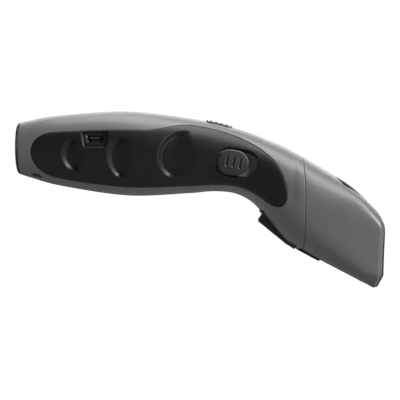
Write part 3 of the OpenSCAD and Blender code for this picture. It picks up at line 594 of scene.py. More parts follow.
def moulded(name, colour, roughness, grain, bump, variation=0.05, metallic=0.0, coat=0.0, specular=0.5,
            wear=0.0):
    """Moulded plastic, rubber or metal with a fine texture, slight mottling and rubbed edges.
    grain is the size of the texture in mm, and bump its depth in mm."""
    material = bpy.data.materials.new(name)
    material.use_nodes = True
    tree = material.node_tree
    shader, link = tree.nodes["Principled BSDF"], tree.links.new
    for key, value in {"Metallic": metallic, "Coat Weight": coat, "Coat Roughness": 0.25,
                       "Specular IOR Level": specular}.items():
        shader.inputs[key].default_value = value
    coords = add_node(tree, "TexCoord")
    mottle = add_node(tree, "TexNoise", {"Scale": 1 / (9 * MM), "Detail": 5})
    fine = add_node(tree, "TexNoise", {"Scale": 1 / (grain * MM), "Detail": 3, "Roughness": 0.6})
    link(coords.outputs["Object"], mottle.inputs["Vector"])
    link(coords.outputs["Object"], fine.inputs["Vector"])

    dark = [c * (1 - variation) for c in colour[:3]] + [1]
    light = [min(1, c * (1 + variation)) for c in colour[:3]] + [1]
    blend = add_node(tree, "Mix", data_type="RGBA")
    blend.inputs["A"].default_value, blend.inputs["B"].default_value = dark, light
    link(mottle.outputs["Fac"], blend.inputs["Factor"])
    colour_out = blend.outputs["Result"]
    if wear:
        geometry = add_node(tree, "NewGeometry")
        edge = add_node(tree, "MapRange", {"From Min": 0.53, "From Max": 0.62, "To Max": wear})
        link(geometry.outputs["Pointiness"], edge.inputs["Value"])
        rub = add_node(tree, "Mix", data_type="RGBA")
        rub.inputs["B"].default_value = [min(1, c * 1.9 + 0.02) for c in colour[:3]] + [1]
        link(edge.outputs["Result"], rub.inputs["Factor"])
        link(colour_out, rub.inputs["A"])
        colour_out = rub.outputs["Result"]
    link(colour_out, shader.inputs["Base Color"])

    gloss = add_node(tree, "MapRange", {"From Min": 0.25, "From Max": 0.75, "To Min": roughness - 0.04,
                                        "To Max": roughness + 0.05})
    link(mottle.outputs["Fac"], gloss.inputs["Value"])
    link(gloss.outputs["Result"], shader.inputs["Roughness"])
    relief = add_node(tree, "Bump", {"Strength": 0.8, "Distance": bump * MM})
    link(fine.outputs["Fac"], relief.inputs["Height"])
    link(relief.outputs["Normal"], shader.inputs["Normal"])
    return material


def clear(name, colour, roughness, ior, transmission):
    """Tinted or coated clear plastic and glass."""
    material = moulded(name, colour, roughness + 0.04, 1.5, 0.002, 0.02)
    shader = material.node_tree.nodes["Principled BSDF"]
    shader.inputs["Transmission Weight"].default_value = transmission
    shader.inputs["IOR"].default_value = ior
    return material


def brushed(name, colour, roughness):
    """Plated metal with fine drawing lines."""
    material = moulded(name, colour, roughness, 0.25, 0.004, 0.06, metallic=1.0)
    tree = material.node_tree
    wave = add_node(tree, "TexWave", {"Scale": 1 / (0.35 * MM), "Distortion": 6, "Detail": 3})
    tree.links.new(node_of(tree, "TexCoord").outputs["Object"], wave.inputs["Vector"])
    tree.links.new(wave.outputs["Fac"], node_of(tree, "Bump").inputs["Height"])
    return material


def circuit_board(name):
    """Green solder mask with paler copper tracks under it."""
    material = moulded(name, (0.02, 0.13, 0.065), 0.32, 0.3, 0.003, 0.08, coat=0.3)
    tree = material.node_tree
    brick = add_node(tree, "TexBrick", {
        "Scale": 1 / (6 * MM), "Mortar Size": 0.03, "Color1": (0.018, 0.12, 0.06, 1),
        "Color2": (0.022, 0.14, 0.07, 1), "Mortar": (0.05, 0.27, 0.12, 1),
    })
    tree.links.new(node_of(tree, "TexCoord").outputs["Object"], brick.inputs["Vector"])
    tree.links.new(brick.outputs["Color"], tree.nodes["Principled BSDF"].inputs["Base Color"])
    return material


BODY_GREY = moulded("satin_gunmetal", (0.105, 0.107, 0.11), 0.38, 0.22, 0.010, 0.04, wear=0.35)
GRIP_BLACK = moulded("grip_rubber", (0.008, 0.008, 0.0085), 0.40, 0.30, 0.010, 0.08, specular=0.32, wear=0.3)
TRIM_BLACK = moulded("trim_black", (0.016, 0.016, 0.017), 0.42, 0.26, 0.010, 0.06, wear=0.4)
KEY_BLACK = moulded("key_rubber", (0.018, 0.018, 0.019), 0.50, 0.30, 0.012, 0.08, wear=0.4)
WINDOW_RED = clear("window_red", (0.10, 0.008, 0.012), 0.03, 1.49, 0.55)
LENS_CLEAR = clear("coated_lens", (0.82, 0.88, 0.92), 0.02, 1.52, 0.9)
LED_CLEAR = clear("led_epoxy", (0.9, 0.88, 0.84), 0.08, 1.5, 0.6)
STEEL = brushed("plated_steel", (0.60, 0.60, 0.62), 0.30)
DARK_STEEL = brushed("nickel_shell", (0.16, 0.16, 0.165), 0.34)
GOLD = brushed("contact_gold", (0.83, 0.62, 0.26), 0.28)
BOARD = circuit_board("solder_mask")
CHIP_BLACK = moulded("moulded_epoxy", (0.03, 0.03, 0.032), 0.55, 0.18, 0.008, 0.08)
SLEEVE = moulded("cell_sleeve", (0.05, 0.15, 0.38), 0.30, 0.8, 0.006, 0.05, coat=0.3)
FLEX = moulded("amber_film", (0.50, 0.29, 0.07), 0.30, 0.5, 0.004, 0.07, coat=0.2)

SLOT_MATERIALS = {
    "housing_plastic": BODY_GREY, "grip_rubber": GRIP_BLACK, "trim_plastic": TRIM_BLACK, "window": WINDOW_RED,
    "steel": STEEL, "circuit_board": BOARD, "chip": CHIP_BLACK, "cell_sleeve": SLEEVE, "contact_gold": GOLD,
    "lens": LENS_CLEAR, "led": LED_CLEAR, "flex": FLEX,
}
NODE_SLOTS = {part["node"]: part["material_slot"] for part in frame["record"]["subparts"]}
for node_name, node_object in frame["nodes"].items():
    node_object.data.materials.clear()
    node_object.data.materials.append(SLOT_MATERIALS[NODE_SLOTS[node_name]])


def stand_in(obj, *nodes):
    """The object is seen in place of these CAD nodes, which are hidden."""
    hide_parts(*nodes)
    return obj


# ----------------------------------------
# Outlines on the skin
# ----------------------------------------
def side_point(t, up):
    """The right side's point at a station and a height share."""
    s = station(t)
    power = np.where(up >= 0, s[..., 5], s[..., 6])
    return skin_point(t, -(1 - np.abs(up) ** power) ** (1 / power), up)


def grip_outline():
    """The rubber panel's edge, as sheet coordinates."""
    start, end, back, front = 1.14, 8.62, 0.8, 1.9
    high_t, high_v = [start, 3.35, 3.72, 5, 6, 7, end], [0.46, 0.52, 0.8, 0.75, 0.61, 0.46, 0.4]
    low_t, low_v = [start, 2.2, 5, 7, end], [-0.74, -0.81, -0.82, -0.76, -0.72]
    t = start + (end - start) * (1 - np.cos(np.linspace(0, np.pi, 500))) / 2
    high = sum(np.interp(t + k, high_t, high_v) for k in np.linspace(-0.2, 0.2, 9)) / 9
    low = np.interp(t, low_t, low_v)
    full = np.ones_like(t)
    near, far = t < start + back, t > end - front
    full[near] = np.sqrt(1 - (1 - (t[near] - start) / back) ** 2)
    full[far] = np.sqrt(1 - (1 - (end - t[far]) / front) ** 2)
    middle, half = (high + low) / 2, (high - low) / 2 * full
    upper, lower = side_point(t, middle + half), side_point(t, middle - half)
    line = resample(np.vstack([upper, lower[-2:0:-1]]), 0.6)
    guess = np.stack([np.clip(line[:, 0], 2, 130), 27 - line[:, 2] * 0.9], 1)
    return smooth_loop(find(SIDE_ROWS, line[:, [0, 2]], guess))


def smooth_loop(loop, times=3):
    """A closed loop with its corners eased."""
    for _ in range(times):
        loop = (np.roll(loop, 1, 0) + 2 * loop + np.roll(loop, -1, 0)) / 4
    return loop


def grown(loop, place, distance):
    """A sheet loop moved outwards by a true distance on the surface."""
    _, _, q = loop_frames(loop, place)
    return loop + q * distance


def on_side(points, origin, ex, ez):
    """Sheet coordinates of points drawn in a side-facing frame."""
    p = origin + points[:, :1] * ex + points[:, 1:] * ez
    guess = np.stack([p[:, 0], 27 - p[:, 2] * 0.9], 1)
    return find(SIDE_ROWS, p[:, [0, 2]], guess)


SLIDE_AT, SLIDE_SLOPE = (97.79, -7.2), 11
SLIDE_ORIGIN, SLIDE_X, SLIDE_Z = turned_frame(*SLIDE_AT, SLIDE_SLOPE)
SLOT_LENGTH, SLOT_WIDTH = 18.8, 12.4
SLIDE_REACH, POCKET_FLOOR = 17.82, 14.82
USB_AT = (35.595, 3.85)
USB_WIDTH, USB_HEIGHT, USB_TAPER = 7.7, 3.9, 0.8
USB_MOUTH = 13.874


def trapezoid(margin, drop, radius):
    """The socket's section, wider at the top, grown by a margin."""
    top, bottom, tall = (size / 2 + margin for size in (USB_WIDTH, USB_WIDTH - 2 * drop, USB_HEIGHT))
    return rounded([(-top, tall), (-bottom, -tall), (bottom, -tall), (top, tall)], radius, 0.35)


GRIP = grip_outline()
SLOT = on_side(stadium(SLOT_LENGTH, SLOT_WIDTH), SLIDE_ORIGIN, SLIDE_X, SLIDE_Z)
USB_ORIGIN = np.array([USB_AT[0], 0, USB_AT[1]])
UNIT_X, UNIT_Y, UNIT_Z = np.eye(3)
USB_OUTER = on_side(trapezoid(2.2, 1.3, 0.9), USB_ORIGIN, UNIT_X, UNIT_Z)
USB_STEP = 0.7
USB_INNER = on_side(trapezoid(0.3, USB_TAPER, 0.4), USB_ORIGIN, UNIT_X, UNIT_Z)

# Finger scoops: x and z of the tail-side edge, height below and above it, how far the edge curves
# forwards below and above, and how far forwards the hollow runs out
SCOOPS = [
    (21.0, -3.6, 7.3, 7.0, 6.5, 4.5, 11.0),
    (41.1, -4.0, 10.1, 8.2, 7.0, 6.0, 12.5),
    (63.2, -4.7, 8.9, 11.7, 7.0, 12.0, 18.0),
]
SCOOP_DEPTH = 1.8
SCOOP_WALL = (-0.3, 2.0)
SCOOP_SHORTEST = 3.2


def scoop_drop(x, y):
    """Depth of the finger scoops: a curved wall at the tail side that runs out forwards."""
    p = skin(x, y)
    drop = np.zeros(np.shape(x))
    for sx, sz, below, above, curve_below, curve_above, run in SCOOPS:
        low = p[..., 2] < sz
        dz = np.abs(p[..., 2] - sz) / np.where(low, below, above)
        bend = 1 - np.sqrt(np.clip(1 - np.minimum(dz, 1) ** 2, 0, 1))
        edge = sx + np.where(low, curve_below, curve_above) * bend
        dx = p[..., 0] - edge
        wall = smooth(*SCOOP_WALL, dx)
        reach = np.maximum(run * (1 - 0.7 * dz ** 2), SCOOP_SHORTEST)
        fade = 1 - smooth(0.3, 1.0, dx / reach)
        drop = np.maximum(drop, wall * fade * smooth(1.0, 0.86, dz))
    return drop * SCOOP_DEPTH


grip_skin = inset_skin(scoop_drop)

# Trigger frame at its hinge, with X up the neck and Z out of it
HINGE_AT, TRIGGER_BACK_AT = 9.36, 7.385
HINGE = station(HINGE_AT)[2:4]
TRIGGER_RUN = station(TRIGGER_BACK_AT)[2:4] - HINGE
T_ORIGIN, T_X, T_Z = turned_frame(*HINGE, math.degrees(math.atan2(-TRIGGER_RUN[1], TRIGGER_RUN[0])))
TRIGGER_LENGTH, TRIGGER_WIDTH, TRIGGER_RISE = 16.4, 15.0, 3.8
BEZEL_INNER = (TRIGGER_LENGTH + 3.4, TRIGGER_WIDTH + 0.7)
BEZEL_OUTER = (BEZEL_INNER[0] + 2.8, BEZEL_INNER[1] + 2.8)
BEZEL_MIDDLE = TRIGGER_LENGTH / 2
BUTTON_X = station(4.5)[0]
BUTTON_LENGTH, BUTTON_WIDTH, BUTTON_RISE = 11.4, 12.0, 0.6

# Cover strip frame under the seam
COVER_FROM, COVER_TO = 9.925, 10.4525
C_START = station(COVER_FROM)[2:4]
COVER_RUN = station(COVER_TO)[2:4] - C_START
COVER_LENGTH, COVER_WIDTH = float(np.linalg.norm(COVER_RUN)), 20.0
C_ORIGIN, C_X, C_Z = turned_frame(*C_START, math.degrees(math.atan2(-COVER_RUN[1], COVER_RUN[0])))


# ----------------------------------------
# Housing halves, with the recess for the rubber, the slide's pocket and the openings
# ----------------------------------------
CROWN, KEEL = 0.045, GIRTH - 0.045
X_TAIL, X_SEAM = x_of_t(TAIL_START), x_of_t(SEAM)
PANEL_GAP = 0.12


def line_of(start, end, spacing=0.8):
    """Evenly spaced points on a straight line."""
    start, end = np.array(start, float), np.array(end, float)
    count = max(2, int(np.linalg.norm(end - start) / spacing))
    return start + (end - start) * np.linspace(0, 1, count + 1)[:, None]


def half_opening(half, radius, middle):
    """The right half of a rounded opening across the middle plane, from tail to nose."""
    loop = rounded(CORNERS * half, radius)
    loop = loop[loop[:, 1] < -0.08]
    loop = loop[np.argsort(np.arctan2(loop[:, 1], loop[:, 0]))]
    return np.vstack([[[-half[0], -0.05]], loop, [[half[0], -0.05]]]) + [middle, 0]


def housing_outline():
    """The right half's edge, with the openings for the top button and the trigger's surround."""
    button = half_opening(np.array([BUTTON_LENGTH / 2 + 0.25, BUTTON_WIDTH / 2 + 0.25]), 1.7, BUTTON_X)
    top = find(PLAN_ROWS, button, np.stack([button[:, 0], -button[:, 1]], 1))
    half = np.array([BEZEL_OUTER[0] / 2 + 0.12, BEZEL_OUTER[1] / 2 + 0.12])
    bezel = half_opening(half, 1.4, BEZEL_MIDDLE)
    share = bezel[:, 0] / np.linalg.norm(TRIGGER_RUN)
    guess = np.stack([x_of_t(HINGE_AT - share * (HINGE_AT - TRIGGER_BACK_AT)), GIRTH + bezel[:, 1] * 0.8], 1)
    target = np.stack([bezel[:, 0] + T_X @ T_ORIGIN, bezel[:, 1]], 1)
    under = find([T_X, UNIT_Y], target, guess)
    return np.vstack([
        line_of((X_TAIL, CROWN), (top[0, 0], CROWN))[:-1], top,
        line_of((top[-1, 0], CROWN), (X_SEAM, CROWN))[1:-1],
        line_of((X_SEAM, CROWN), (X_SEAM, KEEL), 0.5)[:-1],
        line_of((X_SEAM, KEEL), (under[0, 0], KEEL))[:-1], under,
        line_of((under[-1, 0], KEEL), (X_TAIL, KEEL))[1:-1],
        line_of((X_TAIL, KEEL), (X_TAIL, CROWN), 0.5)[:-1],
    ])


HOUSING = housing_outline()
LANYARD_AT, LANYARD_UP = 1.318, -0.86


def lanyard_loop():
    """The oblong hole under the tail, drawn square to a line that leans 30 degrees."""
    s = station(LANYARD_AT)
    middle = ((s[0] + s[2]) + (s[0] - s[2]) * LANYARD_UP) / 2
    lean = np.array([0, math.cos(math.radians(30)), -0.5])
    slot = stadium(4.4, 2.4, 0.25)
    target = np.stack([slot[:, 0] + middle, slot[:, 1] + 0.5], 1)
    return find([UNIT_X, lean], target, (x_of_t(LANYARD_AT), GIRTH * 0.86))


LANYARD = lanyard_loop()
RECESS = grown(GRIP, skin, PANEL_GAP)
HOUSING_SPACING = (1.1, 1.0)
slide_space = placed(SLIDE_ORIGIN, SLIDE_X, SLIDE_Z, -UNIT_Y)


def housing(name, right):
    """One half of the housing. Only the right one has the slide's pocket and the socket's hole."""
    pockets = [(RECESS, GRIP_SEAT + 0.05, [SLOT, USB_INNER] if right else [])]
    build = sheet_solid(HOUSING, skin, inset_skin(WALL), HOUSING_SPACING, [LANYARD], pockets)
    if right:
        build.join(prism(stadium(SLOT_LENGTH + 0.6, SLOT_WIDTH + 0.2), POCKET_FLOOR - 1.4, POCKET_FLOOR + 0.1,
                         0.1, 0.1, slide_space, spacing=1.5))
    else:
        build = build.mirrored()
    return build.make(name, BODY_GREY)


stand_in(housing("shell_right", True), "housing_right")
stand_in(housing("shell_left", False), "housing_left")

# ----------------------------------------
# Rubber panels
# ----------------------------------------
RUBBER_EDGE = [(-0.42, 0.0), (-0.22, 0.03), (-0.08, 0.11), (0.0, 0.3)]
GRIP_SPACING = (0.5, 0.5)
grip_back = inset_skin(GRIP_SEAT)
right_panel = sheet_solid(GRIP, grip_skin, grip_back, GRIP_SPACING, [SLOT],
                          [(USB_OUTER, USB_STEP, [USB_INNER])], RUBBER_EDGE)
stand_in(right_panel.make("rubber_right", GRIP_BLACK), "grip_right")
left_panel = sheet_solid(GRIP, grip_skin, grip_back, GRIP_SPACING, profile=RUBBER_EDGE).mirrored()
stand_in(left_panel.make("rubber_left", GRIP_BLACK), "grip_left")

# ----------------------------------------
# Nose, with its bevelled rim and the four vent grooves over the top
# ----------------------------------------
X_NOSE, X_RIM, X_FRONT = x_of_t(SEAM + 0.009), x_of_t(RIM_START), x_of_t(RIM_END)
NOSE_SPACING = (0.55, 0.5)
VENTS = [(1.6, 8.8), (12.1, 19.5)]
INSERT_END = 11.69


def rim_depth(x, y):
    """The bevel round the front of the nose."""
    return RIM_BEVEL * np.clip((x - X_RIM) / (X_FRONT - X_RIM), 0, 1.4)


nose_skin = section_inset(rim_depth)
nose_inside = section_inset(WALL)


def y_at(x, width):
    """Sheet y where the skin is this far from the middle plane, over the top."""
    ys = np.linspace(0, GIRTH * 0.42, 160)
    row = -skin(np.full(len(ys), x), ys)[:, 1]
    return np.interp(width, row, ys)


def vent_back(width):
    """Sheet x of the arc where the grooves begin."""
    return X_NOSE + 13.6 + 6.4 * (width / 20) ** 2


def vent_outline(low, high, front):
    """One groove's edge from the front rim back, across, and forward again."""
    def side(width, forward):
        xs = np.arange(vent_back(width) + 0.8, front, 0.5)
        xs = np.append(xs, front)
        line = np.array([(x, y_at(x, width)) for x in xs])
        return line if forward else line[::-1]

    widths = np.linspace(low + 0.4, high - 0.4, 14)
    back = np.array([(vent_back(w), y_at(vent_back(w), w)) for w in widths])
    return np.vstack([side(low, False), back, side(high, True)])


def open_smooth(line, times=2):
    """An open line with its corners eased and its ends kept."""
    for _ in range(times):
        line[1:-1] = (line[:-2] + 2 * line[1:-1] + line[2:]) / 4
    return line


def front_path():
    """The nose's front edge from crown to underside, round every groove."""
    line, y = [], 0.0
    for low, high in VENTS:
        groove = open_smooth(vent_outline(low, high, X_FRONT))
        line += [line_of((X_FRONT, y), (X_FRONT, groove[0, 1]), 0.45)[:-1], groove]
        y = groove[-1, 1]
    line.append(line_of((X_FRONT, y), (X_FRONT, GIRTH), 0.45)[1:])
    return np.vstack(line)


def nose():
    """The nose shell: outer and inner sheets, joined along the front edge and the seam."""
    build = Build()
    path = front_path()
    seam = line_of((X_NOSE, GIRTH), (X_NOSE, 0), 0.5)
    rims = []
    for line in (path, seam):
        rings, q = edge_rings(line, nose_skin, EDGE, False)
        rings.append(nose_inside(*line.T))
        build.strips(rings, closed=False)
        inner = line + q * EDGE[0][0]
        inner[[0, -1], 1] = line[[0, -1], 1]
        rims.append((inner, line))
    for k, place, spacing in ((0, nose_skin, NOSE_SPACING), (1, nose_inside, (2.0, 1.2))):
        front, back = rims[0][k], rims[1][k]
        under = line_of(front[-1], back[0], 0.7)[1:-1]
        crown = line_of(back[-1], front[0], 0.7)[1:-1]
        loop = np.vstack([front, under, back, crown])
        build.fill(loop, [], spacing, lambda p, place=place: place(*p.T))
    for p in build.points:
        p[np.abs(p[:, 1]) < 0.03, 1] = 0
    build.join(build.mirrored())
    return build


stand_in(nose().make("nose_shell", BODY_GREY, weld=3e-6), "nose_housing")


def groove_floor(x, y):
    """The floor of the grooves slopes down from the skin at the back to its full depth."""
    width = -skin(x, y)[..., 1]
    return 0.25 + 2.9 * np.clip((x - vent_back(width)) / 11.0, 0, 1) ** 0.8


def vent_floor():
    """The black insert, seen as the floor of each groove."""
    build = Build()
    stop = x_of_t(INSERT_END)
    for low, high in VENTS:
        line = vent_outline(low, high, stop)
        loop = np.vstack([line, line_of(line[-1], line[0], 0.6)[1:-1]])
        loop = grown(loop, skin, -0.04)
        back = inset_skin(lambda x, y: groove_floor(x, y) + 1.0)
        build.join(sheet_solid(loop, inset_skin(groove_floor), back, (0.7, 0.6),
                               profile=[(-0.02, 0.0), (0.0, 0.02)]))
    build.join(build.mirrored())
    return build


stand_in(vent_floor().make("vent_floor", TRIM_BLACK), "nose_vent_insert")

# ----------------------------------------
# Window frame, window, and tail cap, from rings round the whole section
# ----------------------------------------
RING_Y = np.linspace(0, GIRTH, 151)


def full_ring(x, inset):
    """A ring round the whole section at sheet x, moved inwards within the section."""
    right = section_inset(inset)(np.full(len(RING_Y), x), RING_Y)
    right[[0, -1], 1] = 0
    left = right[-2:0:-1] * np.array([1, -1, 1])
    return np.vstack([right, left])


def frame_ring():
    """The window frame, from a closed profile of sheet x and inset."""
    x = [x_of_t(t) for t in (11.722, RIM_END + 0.007, LAST)]
    lip = WALL + 2.6
    profile = [
        (x[0], WALL + 0.2), (x[1], WALL + 0.2), (x[1], RIM_BEVEL + 0.35), (x[1] + 0.12, RIM_BEVEL + 0.22),
        (x[2] - 0.45, FRAME_LIP - 0.08), (x[2] - 0.18, FRAME_LIP), (x[2] - 0.04, FRAME_LIP + 0.14),
        (x[2], FRAME_LIP + 0.4), (x[2], lip - 0.9), (x[2] - 0.08, lip - 0.55), (x[2] - 0.35, lip - 0.15),
        (x[2] - 0.7, lip), (x[1], lip), (x[1], WALL + 1.6), (x[0], WALL + 1.6), (x[0], WALL + 0.2),
    ]
    build = Build()
    build.strips([full_ring(px, inset) for px, inset in profile])
    return build


stand_in(frame_ring().make("window_bezel", TRIM_BLACK, sharp=40), "window_frame")


def window():
    """The pane: flat in its middle, and bowed like the frame at its edge."""
    build = Build()
    inset = WALL + 1.7
    back, front = (full_ring(x_of_t(t), inset) for t in (RIM_END - 0.069, RIM_END - 0.007))
    rows = []
    for ring, shares in ((back, np.linspace(0.04, 1, 14)), (front, np.linspace(1, 0.04, 14))):
        middle = ring.mean(0)
        slope, level = np.polyfit(ring[:, 2], ring[:, 0], 1)
        edge_gap = ring[:, 0] - (slope * ring[:, 2] + level)
        for s in shares:
            row = middle + (ring - middle) * s
            row[:, 0] = slope * row[:, 2] + level + edge_gap * s ** 6
            rows.append(row)
    build.strips(rows)
    build.fan(rows[0])
    build.fan(rows[-1])
    return build


stand_in(window().make("window_pane", WINDOW_RED, sharp=50), "window_lens")


def tail_plate():
    """The tail cap: a flat face with a rounded rim, closed inside."""
    build = Build()
    stop = X_TAIL - 0.1
    profile = [(stop, 0.3), (stop - 0.08, 0.08), (stop - 0.25, 0.0), (0.9, 0.0), (0.5, 0.05), (0.2, 0.2),
               (0.05, 0.45)]
    rows = [full_ring(x, inset) for x, inset in profile]
    face = full_ring(0.0, 0.85)
    face[:, 0] = 0
    middle = face.mean(0)
    rows += [middle + (face - middle) * s for s in (1, 0.8, 0.6, 0.4, 0.2, 0.05)]
    inner = rows[0] - middle
    depth = rows[0][:, 0].mean()
    back = [middle * [0, 1, 1] + inner * [0, s, s] + [depth, 0, 0] for s in (0.05, 0.5, 0.97)]
    rows = back + rows
    build.strips(rows)
    build.fan(rows[0])
    build.fan(rows[-1])
    return build


stand_in(tail_plate().make("tail_plate", TRIM_BLACK, sharp=60), "tail_cap")

# ----------------------------------------
# Charging socket, slide knob, top button, trigger and cover strip
# ----------------------------------------
usb_space = placed(USB_ORIGIN, UNIT_X, UNIT_Z, -UNIT_Y)
USB_BACK = USB_MOUTH - 9.2
socket = prism(trapezoid(0, USB_TAPER, 0.35), USB_BACK, USB_MOUTH, 0.05, 0.12, usb_space,
               hole=trapezoid(-0.35, USB_TAPER - 0.2, 0.25), spacing=2)
socket.join(prism(trapezoid(-0.2, USB_TAPER - 0.1, 0.3), USB_BACK + 0.05, USB_BACK + 1.5, 0.05, 0.05,
                  usb_space, spacing=2))
stand_in(socket.make("socket_shell", DARK_STEEL, sharp=45), "usb_port")
tongue = prism(box_outline(4.4, 0.8, 0.12, 0.3), USB_BACK + 1, USB_MOUTH - 0.8, 0.05, 0.12, usb_space)
stand_in(tongue.make("socket_tongue", CHIP_BLACK, sharp=45), "usb_tongue")

KNOB_LENGTH, KNOB_WIDTH, SLIDE_TRAVEL = 13.8, 10.9, 3.4
KNOB_TOP = SLIDE_REACH + 0.42
KNOB_CAP, SKIRT_IN = 1.5, 2.4


def knob_top(p):
    """A gentle dome with three finger ribs across the middle."""
    dome = -0.45 * (p[:, 1] / (KNOB_WIDTH / 2)) ** 2 - 0.25 * (p[:, 0] / (KNOB_LENGTH / 2)) ** 2
    ribs = np.zeros(len(p))
    for x in (-2.9, 0.0, 2.9):
        bend = x + 0.05 * p[:, 1] ** 2
        d = p[:, 0] - bend
        cut = np.exp(-(d / 0.30) ** 2) * 0.6 - np.exp(-((d - 0.8) / 0.4) ** 2) * 0.15
        ribs -= cut * smooth(2.9, 1.7, np.abs(p[:, 1]))
    return dome + ribs


knob_space = placed(SLIDE_ORIGIN - SLIDE_X * SLIDE_TRAVEL / 2, SLIDE_X, SLIDE_Z, -UNIT_Y)
knob = prism(stadium(KNOB_LENGTH, KNOB_WIDTH, 0.3), KNOB_TOP - KNOB_CAP, KNOB_TOP, 0.1, 0.75, knob_space,
             top=knob_top, spacing=0.3)
knob.join(prism(stadium(KNOB_LENGTH - SKIRT_IN, KNOB_WIDTH - SKIRT_IN, 0.5), POCKET_FLOOR + 0.2,
                KNOB_TOP - KNOB_CAP + 0.1, 0.1, 0.05, knob_space, spacing=1))
knob.join(prism(box_outline(3.4, 2.2, 0.2, 0.3), POCKET_FLOOR - 3.6, POCKET_FLOOR + 0.25, 0.05, 0.05,
                knob_space, spacing=1))
stand_in(knob.make("slide_knob", KEY_BLACK, "power_slider_body"), "power_slider")


def button_height(p):
    """Height of the ribbed top of the button, which follows the crown."""
    x = BUTTON_X + p[:, 0]
    target = np.stack([x, -np.abs(p[:, 1]) - 0.02], 1)
    q = find(PLAN_ROWS, target, np.stack([x, np.abs(p[:, 1])], 1))
    z = skin(q[:, 0], q[:, 1])[:, 2]
    shifted = np.abs(((p[:, 0] / (BUTTON_LENGTH / 4.9) + 0.5) % 1.0) - 0.5)
    groove = 0.62 * np.clip(1 - shifted / 0.30, 0, 1)
    along = smooth(BUTTON_LENGTH / 2, BUTTON_LENGTH / 2 - 1.2, np.abs(p[:, 0]))
    across = smooth(BUTTON_WIDTH / 2, BUTTON_WIDTH / 2 - 1.0, np.abs(p[:, 1]))
    return z + BUTTON_RISE - groove * along * across


plan_space = placed(np.array([BUTTON_X, 0, 0]), UNIT_X, UNIT_Y, UNIT_Z)
button = prism(box_outline(BUTTON_LENGTH, BUTTON_WIDTH, 1.6, 0.3), 5.2, 0.0, 0.05, 0.45, plan_space,
               top=button_height, spacing=0.3)
button.join(prism(box_outline(BUTTON_LENGTH + 2, BUTTON_WIDTH + 1.6, 1.6, 0.5), 4.2, 5.25, 0.1, 0.1,
                  plan_space, spacing=2))
stand_in(button.make("ribbed_button", KEY_BLACK, "top_button_body"), "top_button")

trigger_space = placed(T_ORIGIN, T_X, T_Z, UNIT_Y)
bezel_space = placed(T_ORIGIN + T_X * BEZEL_MIDDLE, T_X, UNIT_Y, T_Z)
shelf_space = placed(T_ORIGIN + T_X * (BEZEL_MIDDLE + 4.3), T_X, UNIT_Y, T_Z)
cover_space = placed(C_ORIGIN + C_X * COVER_LENGTH / 2, C_X, UNIT_Y, -C_Z)

TIP_X = TRIGGER_LENGTH
blade_corners = [(-1.2, 0.7), (0, 1.1), (TIP_X * 0.98, TRIGGER_RISE), (TIP_X + 0.5, TRIGGER_RISE - 0.6),
                 (TIP_X + 1.3, 0.5), (TIP_X + 1.3, -3), (TIP_X - 4, -4.1), (1.6, -3.5), (-1.2, -3.2)]
blade_outline = rounded(blade_corners, [0.3, 0.5, 0.35, 0.3, 0.8, 0.4, 0.4, 0.5, 0.4], 0.3)
blade = prism(blade_outline, -TRIGGER_WIDTH / 2, TRIGGER_WIDTH / 2, 0.55, 0.55, trigger_space, spacing=0.8)
stand_in(blade.make("trigger_blade", KEY_BLACK, "trigger_body", sharp=35), "trigger")

surround = prism(box_outline(*BEZEL_OUTER, 1.3), -4.6, 0.3, 0.1, 0.3, bezel_space,
                 hole=box_outline(*BEZEL_INNER, 0.6), spacing=2)
surround.join(prism(box_outline(BEZEL_OUTER[0] - 10, 12, 0.3), -10.2, -9.0, 0.1, 0.1, shelf_space, spacing=2))
stand_in(surround.make("trigger_surround", TRIM_BLACK, sharp=40), "trigger_bezel")

cover = prism(box_outline(COVER_LENGTH, COVER_WIDTH, 1.0), -0.25, 0.8, 0.1, 0.4, cover_space)
stand_in(cover.make("seam_strip", TRIM_BLACK, sharp=40), "seam_cover")

# ----------------------------------------
# Floor, lights and camera
# ----------------------------------------
scene = bpy.context.scene
FLOOR_HALF = 3.0
FLOOR_GLOW, FLOOR_SHEEN = 0.30, 0.30
GLOW_AT, GLOW_RADIUS = (-0.04, 0.03, 0), 0.16
ROOM_LOW, ROOM_HIGH = 0.0, 0.12
PLAIN_WHITE = 1.05
scene.view_settings.view_transform = "Standard"
scene.view_settings.look = "None"


def paper(name):
    """White paper: lit like any matt sheet, softly glowing under the object, evenly pale in reflections,
    and plain white where the camera sees it."""
    material = moulded(name, (0.34, 0.34, 0.34), 0.85, 1.2, 0.01, 0.02)
    tree = material.node_tree
    shader, link = tree.nodes["Principled BSDF"], tree.links.new
    shader.inputs["Emission Color"].default_value = (1, 1, 1, 1)
    gap = add_node(tree, "VectorMath", operation="DISTANCE")
    gap.inputs[1].default_value = GLOW_AT
    fall = add_node(tree, "MapRange", {"From Max": GLOW_RADIUS, "To Min": FLOOR_GLOW, "To Max": 0},
                    interpolation_type="SMOOTHSTEP")
    link(node_of(tree, "TexCoord").outputs["Object"], gap.inputs[0])
    link(gap.outputs["Value"], fall.inputs["Value"])
    link(fall.outputs["Result"], shader.inputs["Emission Strength"])
    path = add_node(tree, "LightPath")
    seen = shader.outputs["BSDF"]
    for ray, strength in (("Is Glossy Ray", FLOOR_SHEEN), ("Is Camera Ray", PLAIN_WHITE)):
        glow = add_node(tree, "Emission", {"Strength": strength})
        pick = add_node(tree, "MixShader")
        link(path.outputs[ray], pick.inputs["Fac"])
        link(seen, pick.inputs[1])
        link(glow.outputs["Emission"], pick.inputs[2])
        seen = pick.outputs["Shader"]
    link(seen, tree.nodes["Material Output"].inputs["Surface"])
    return material


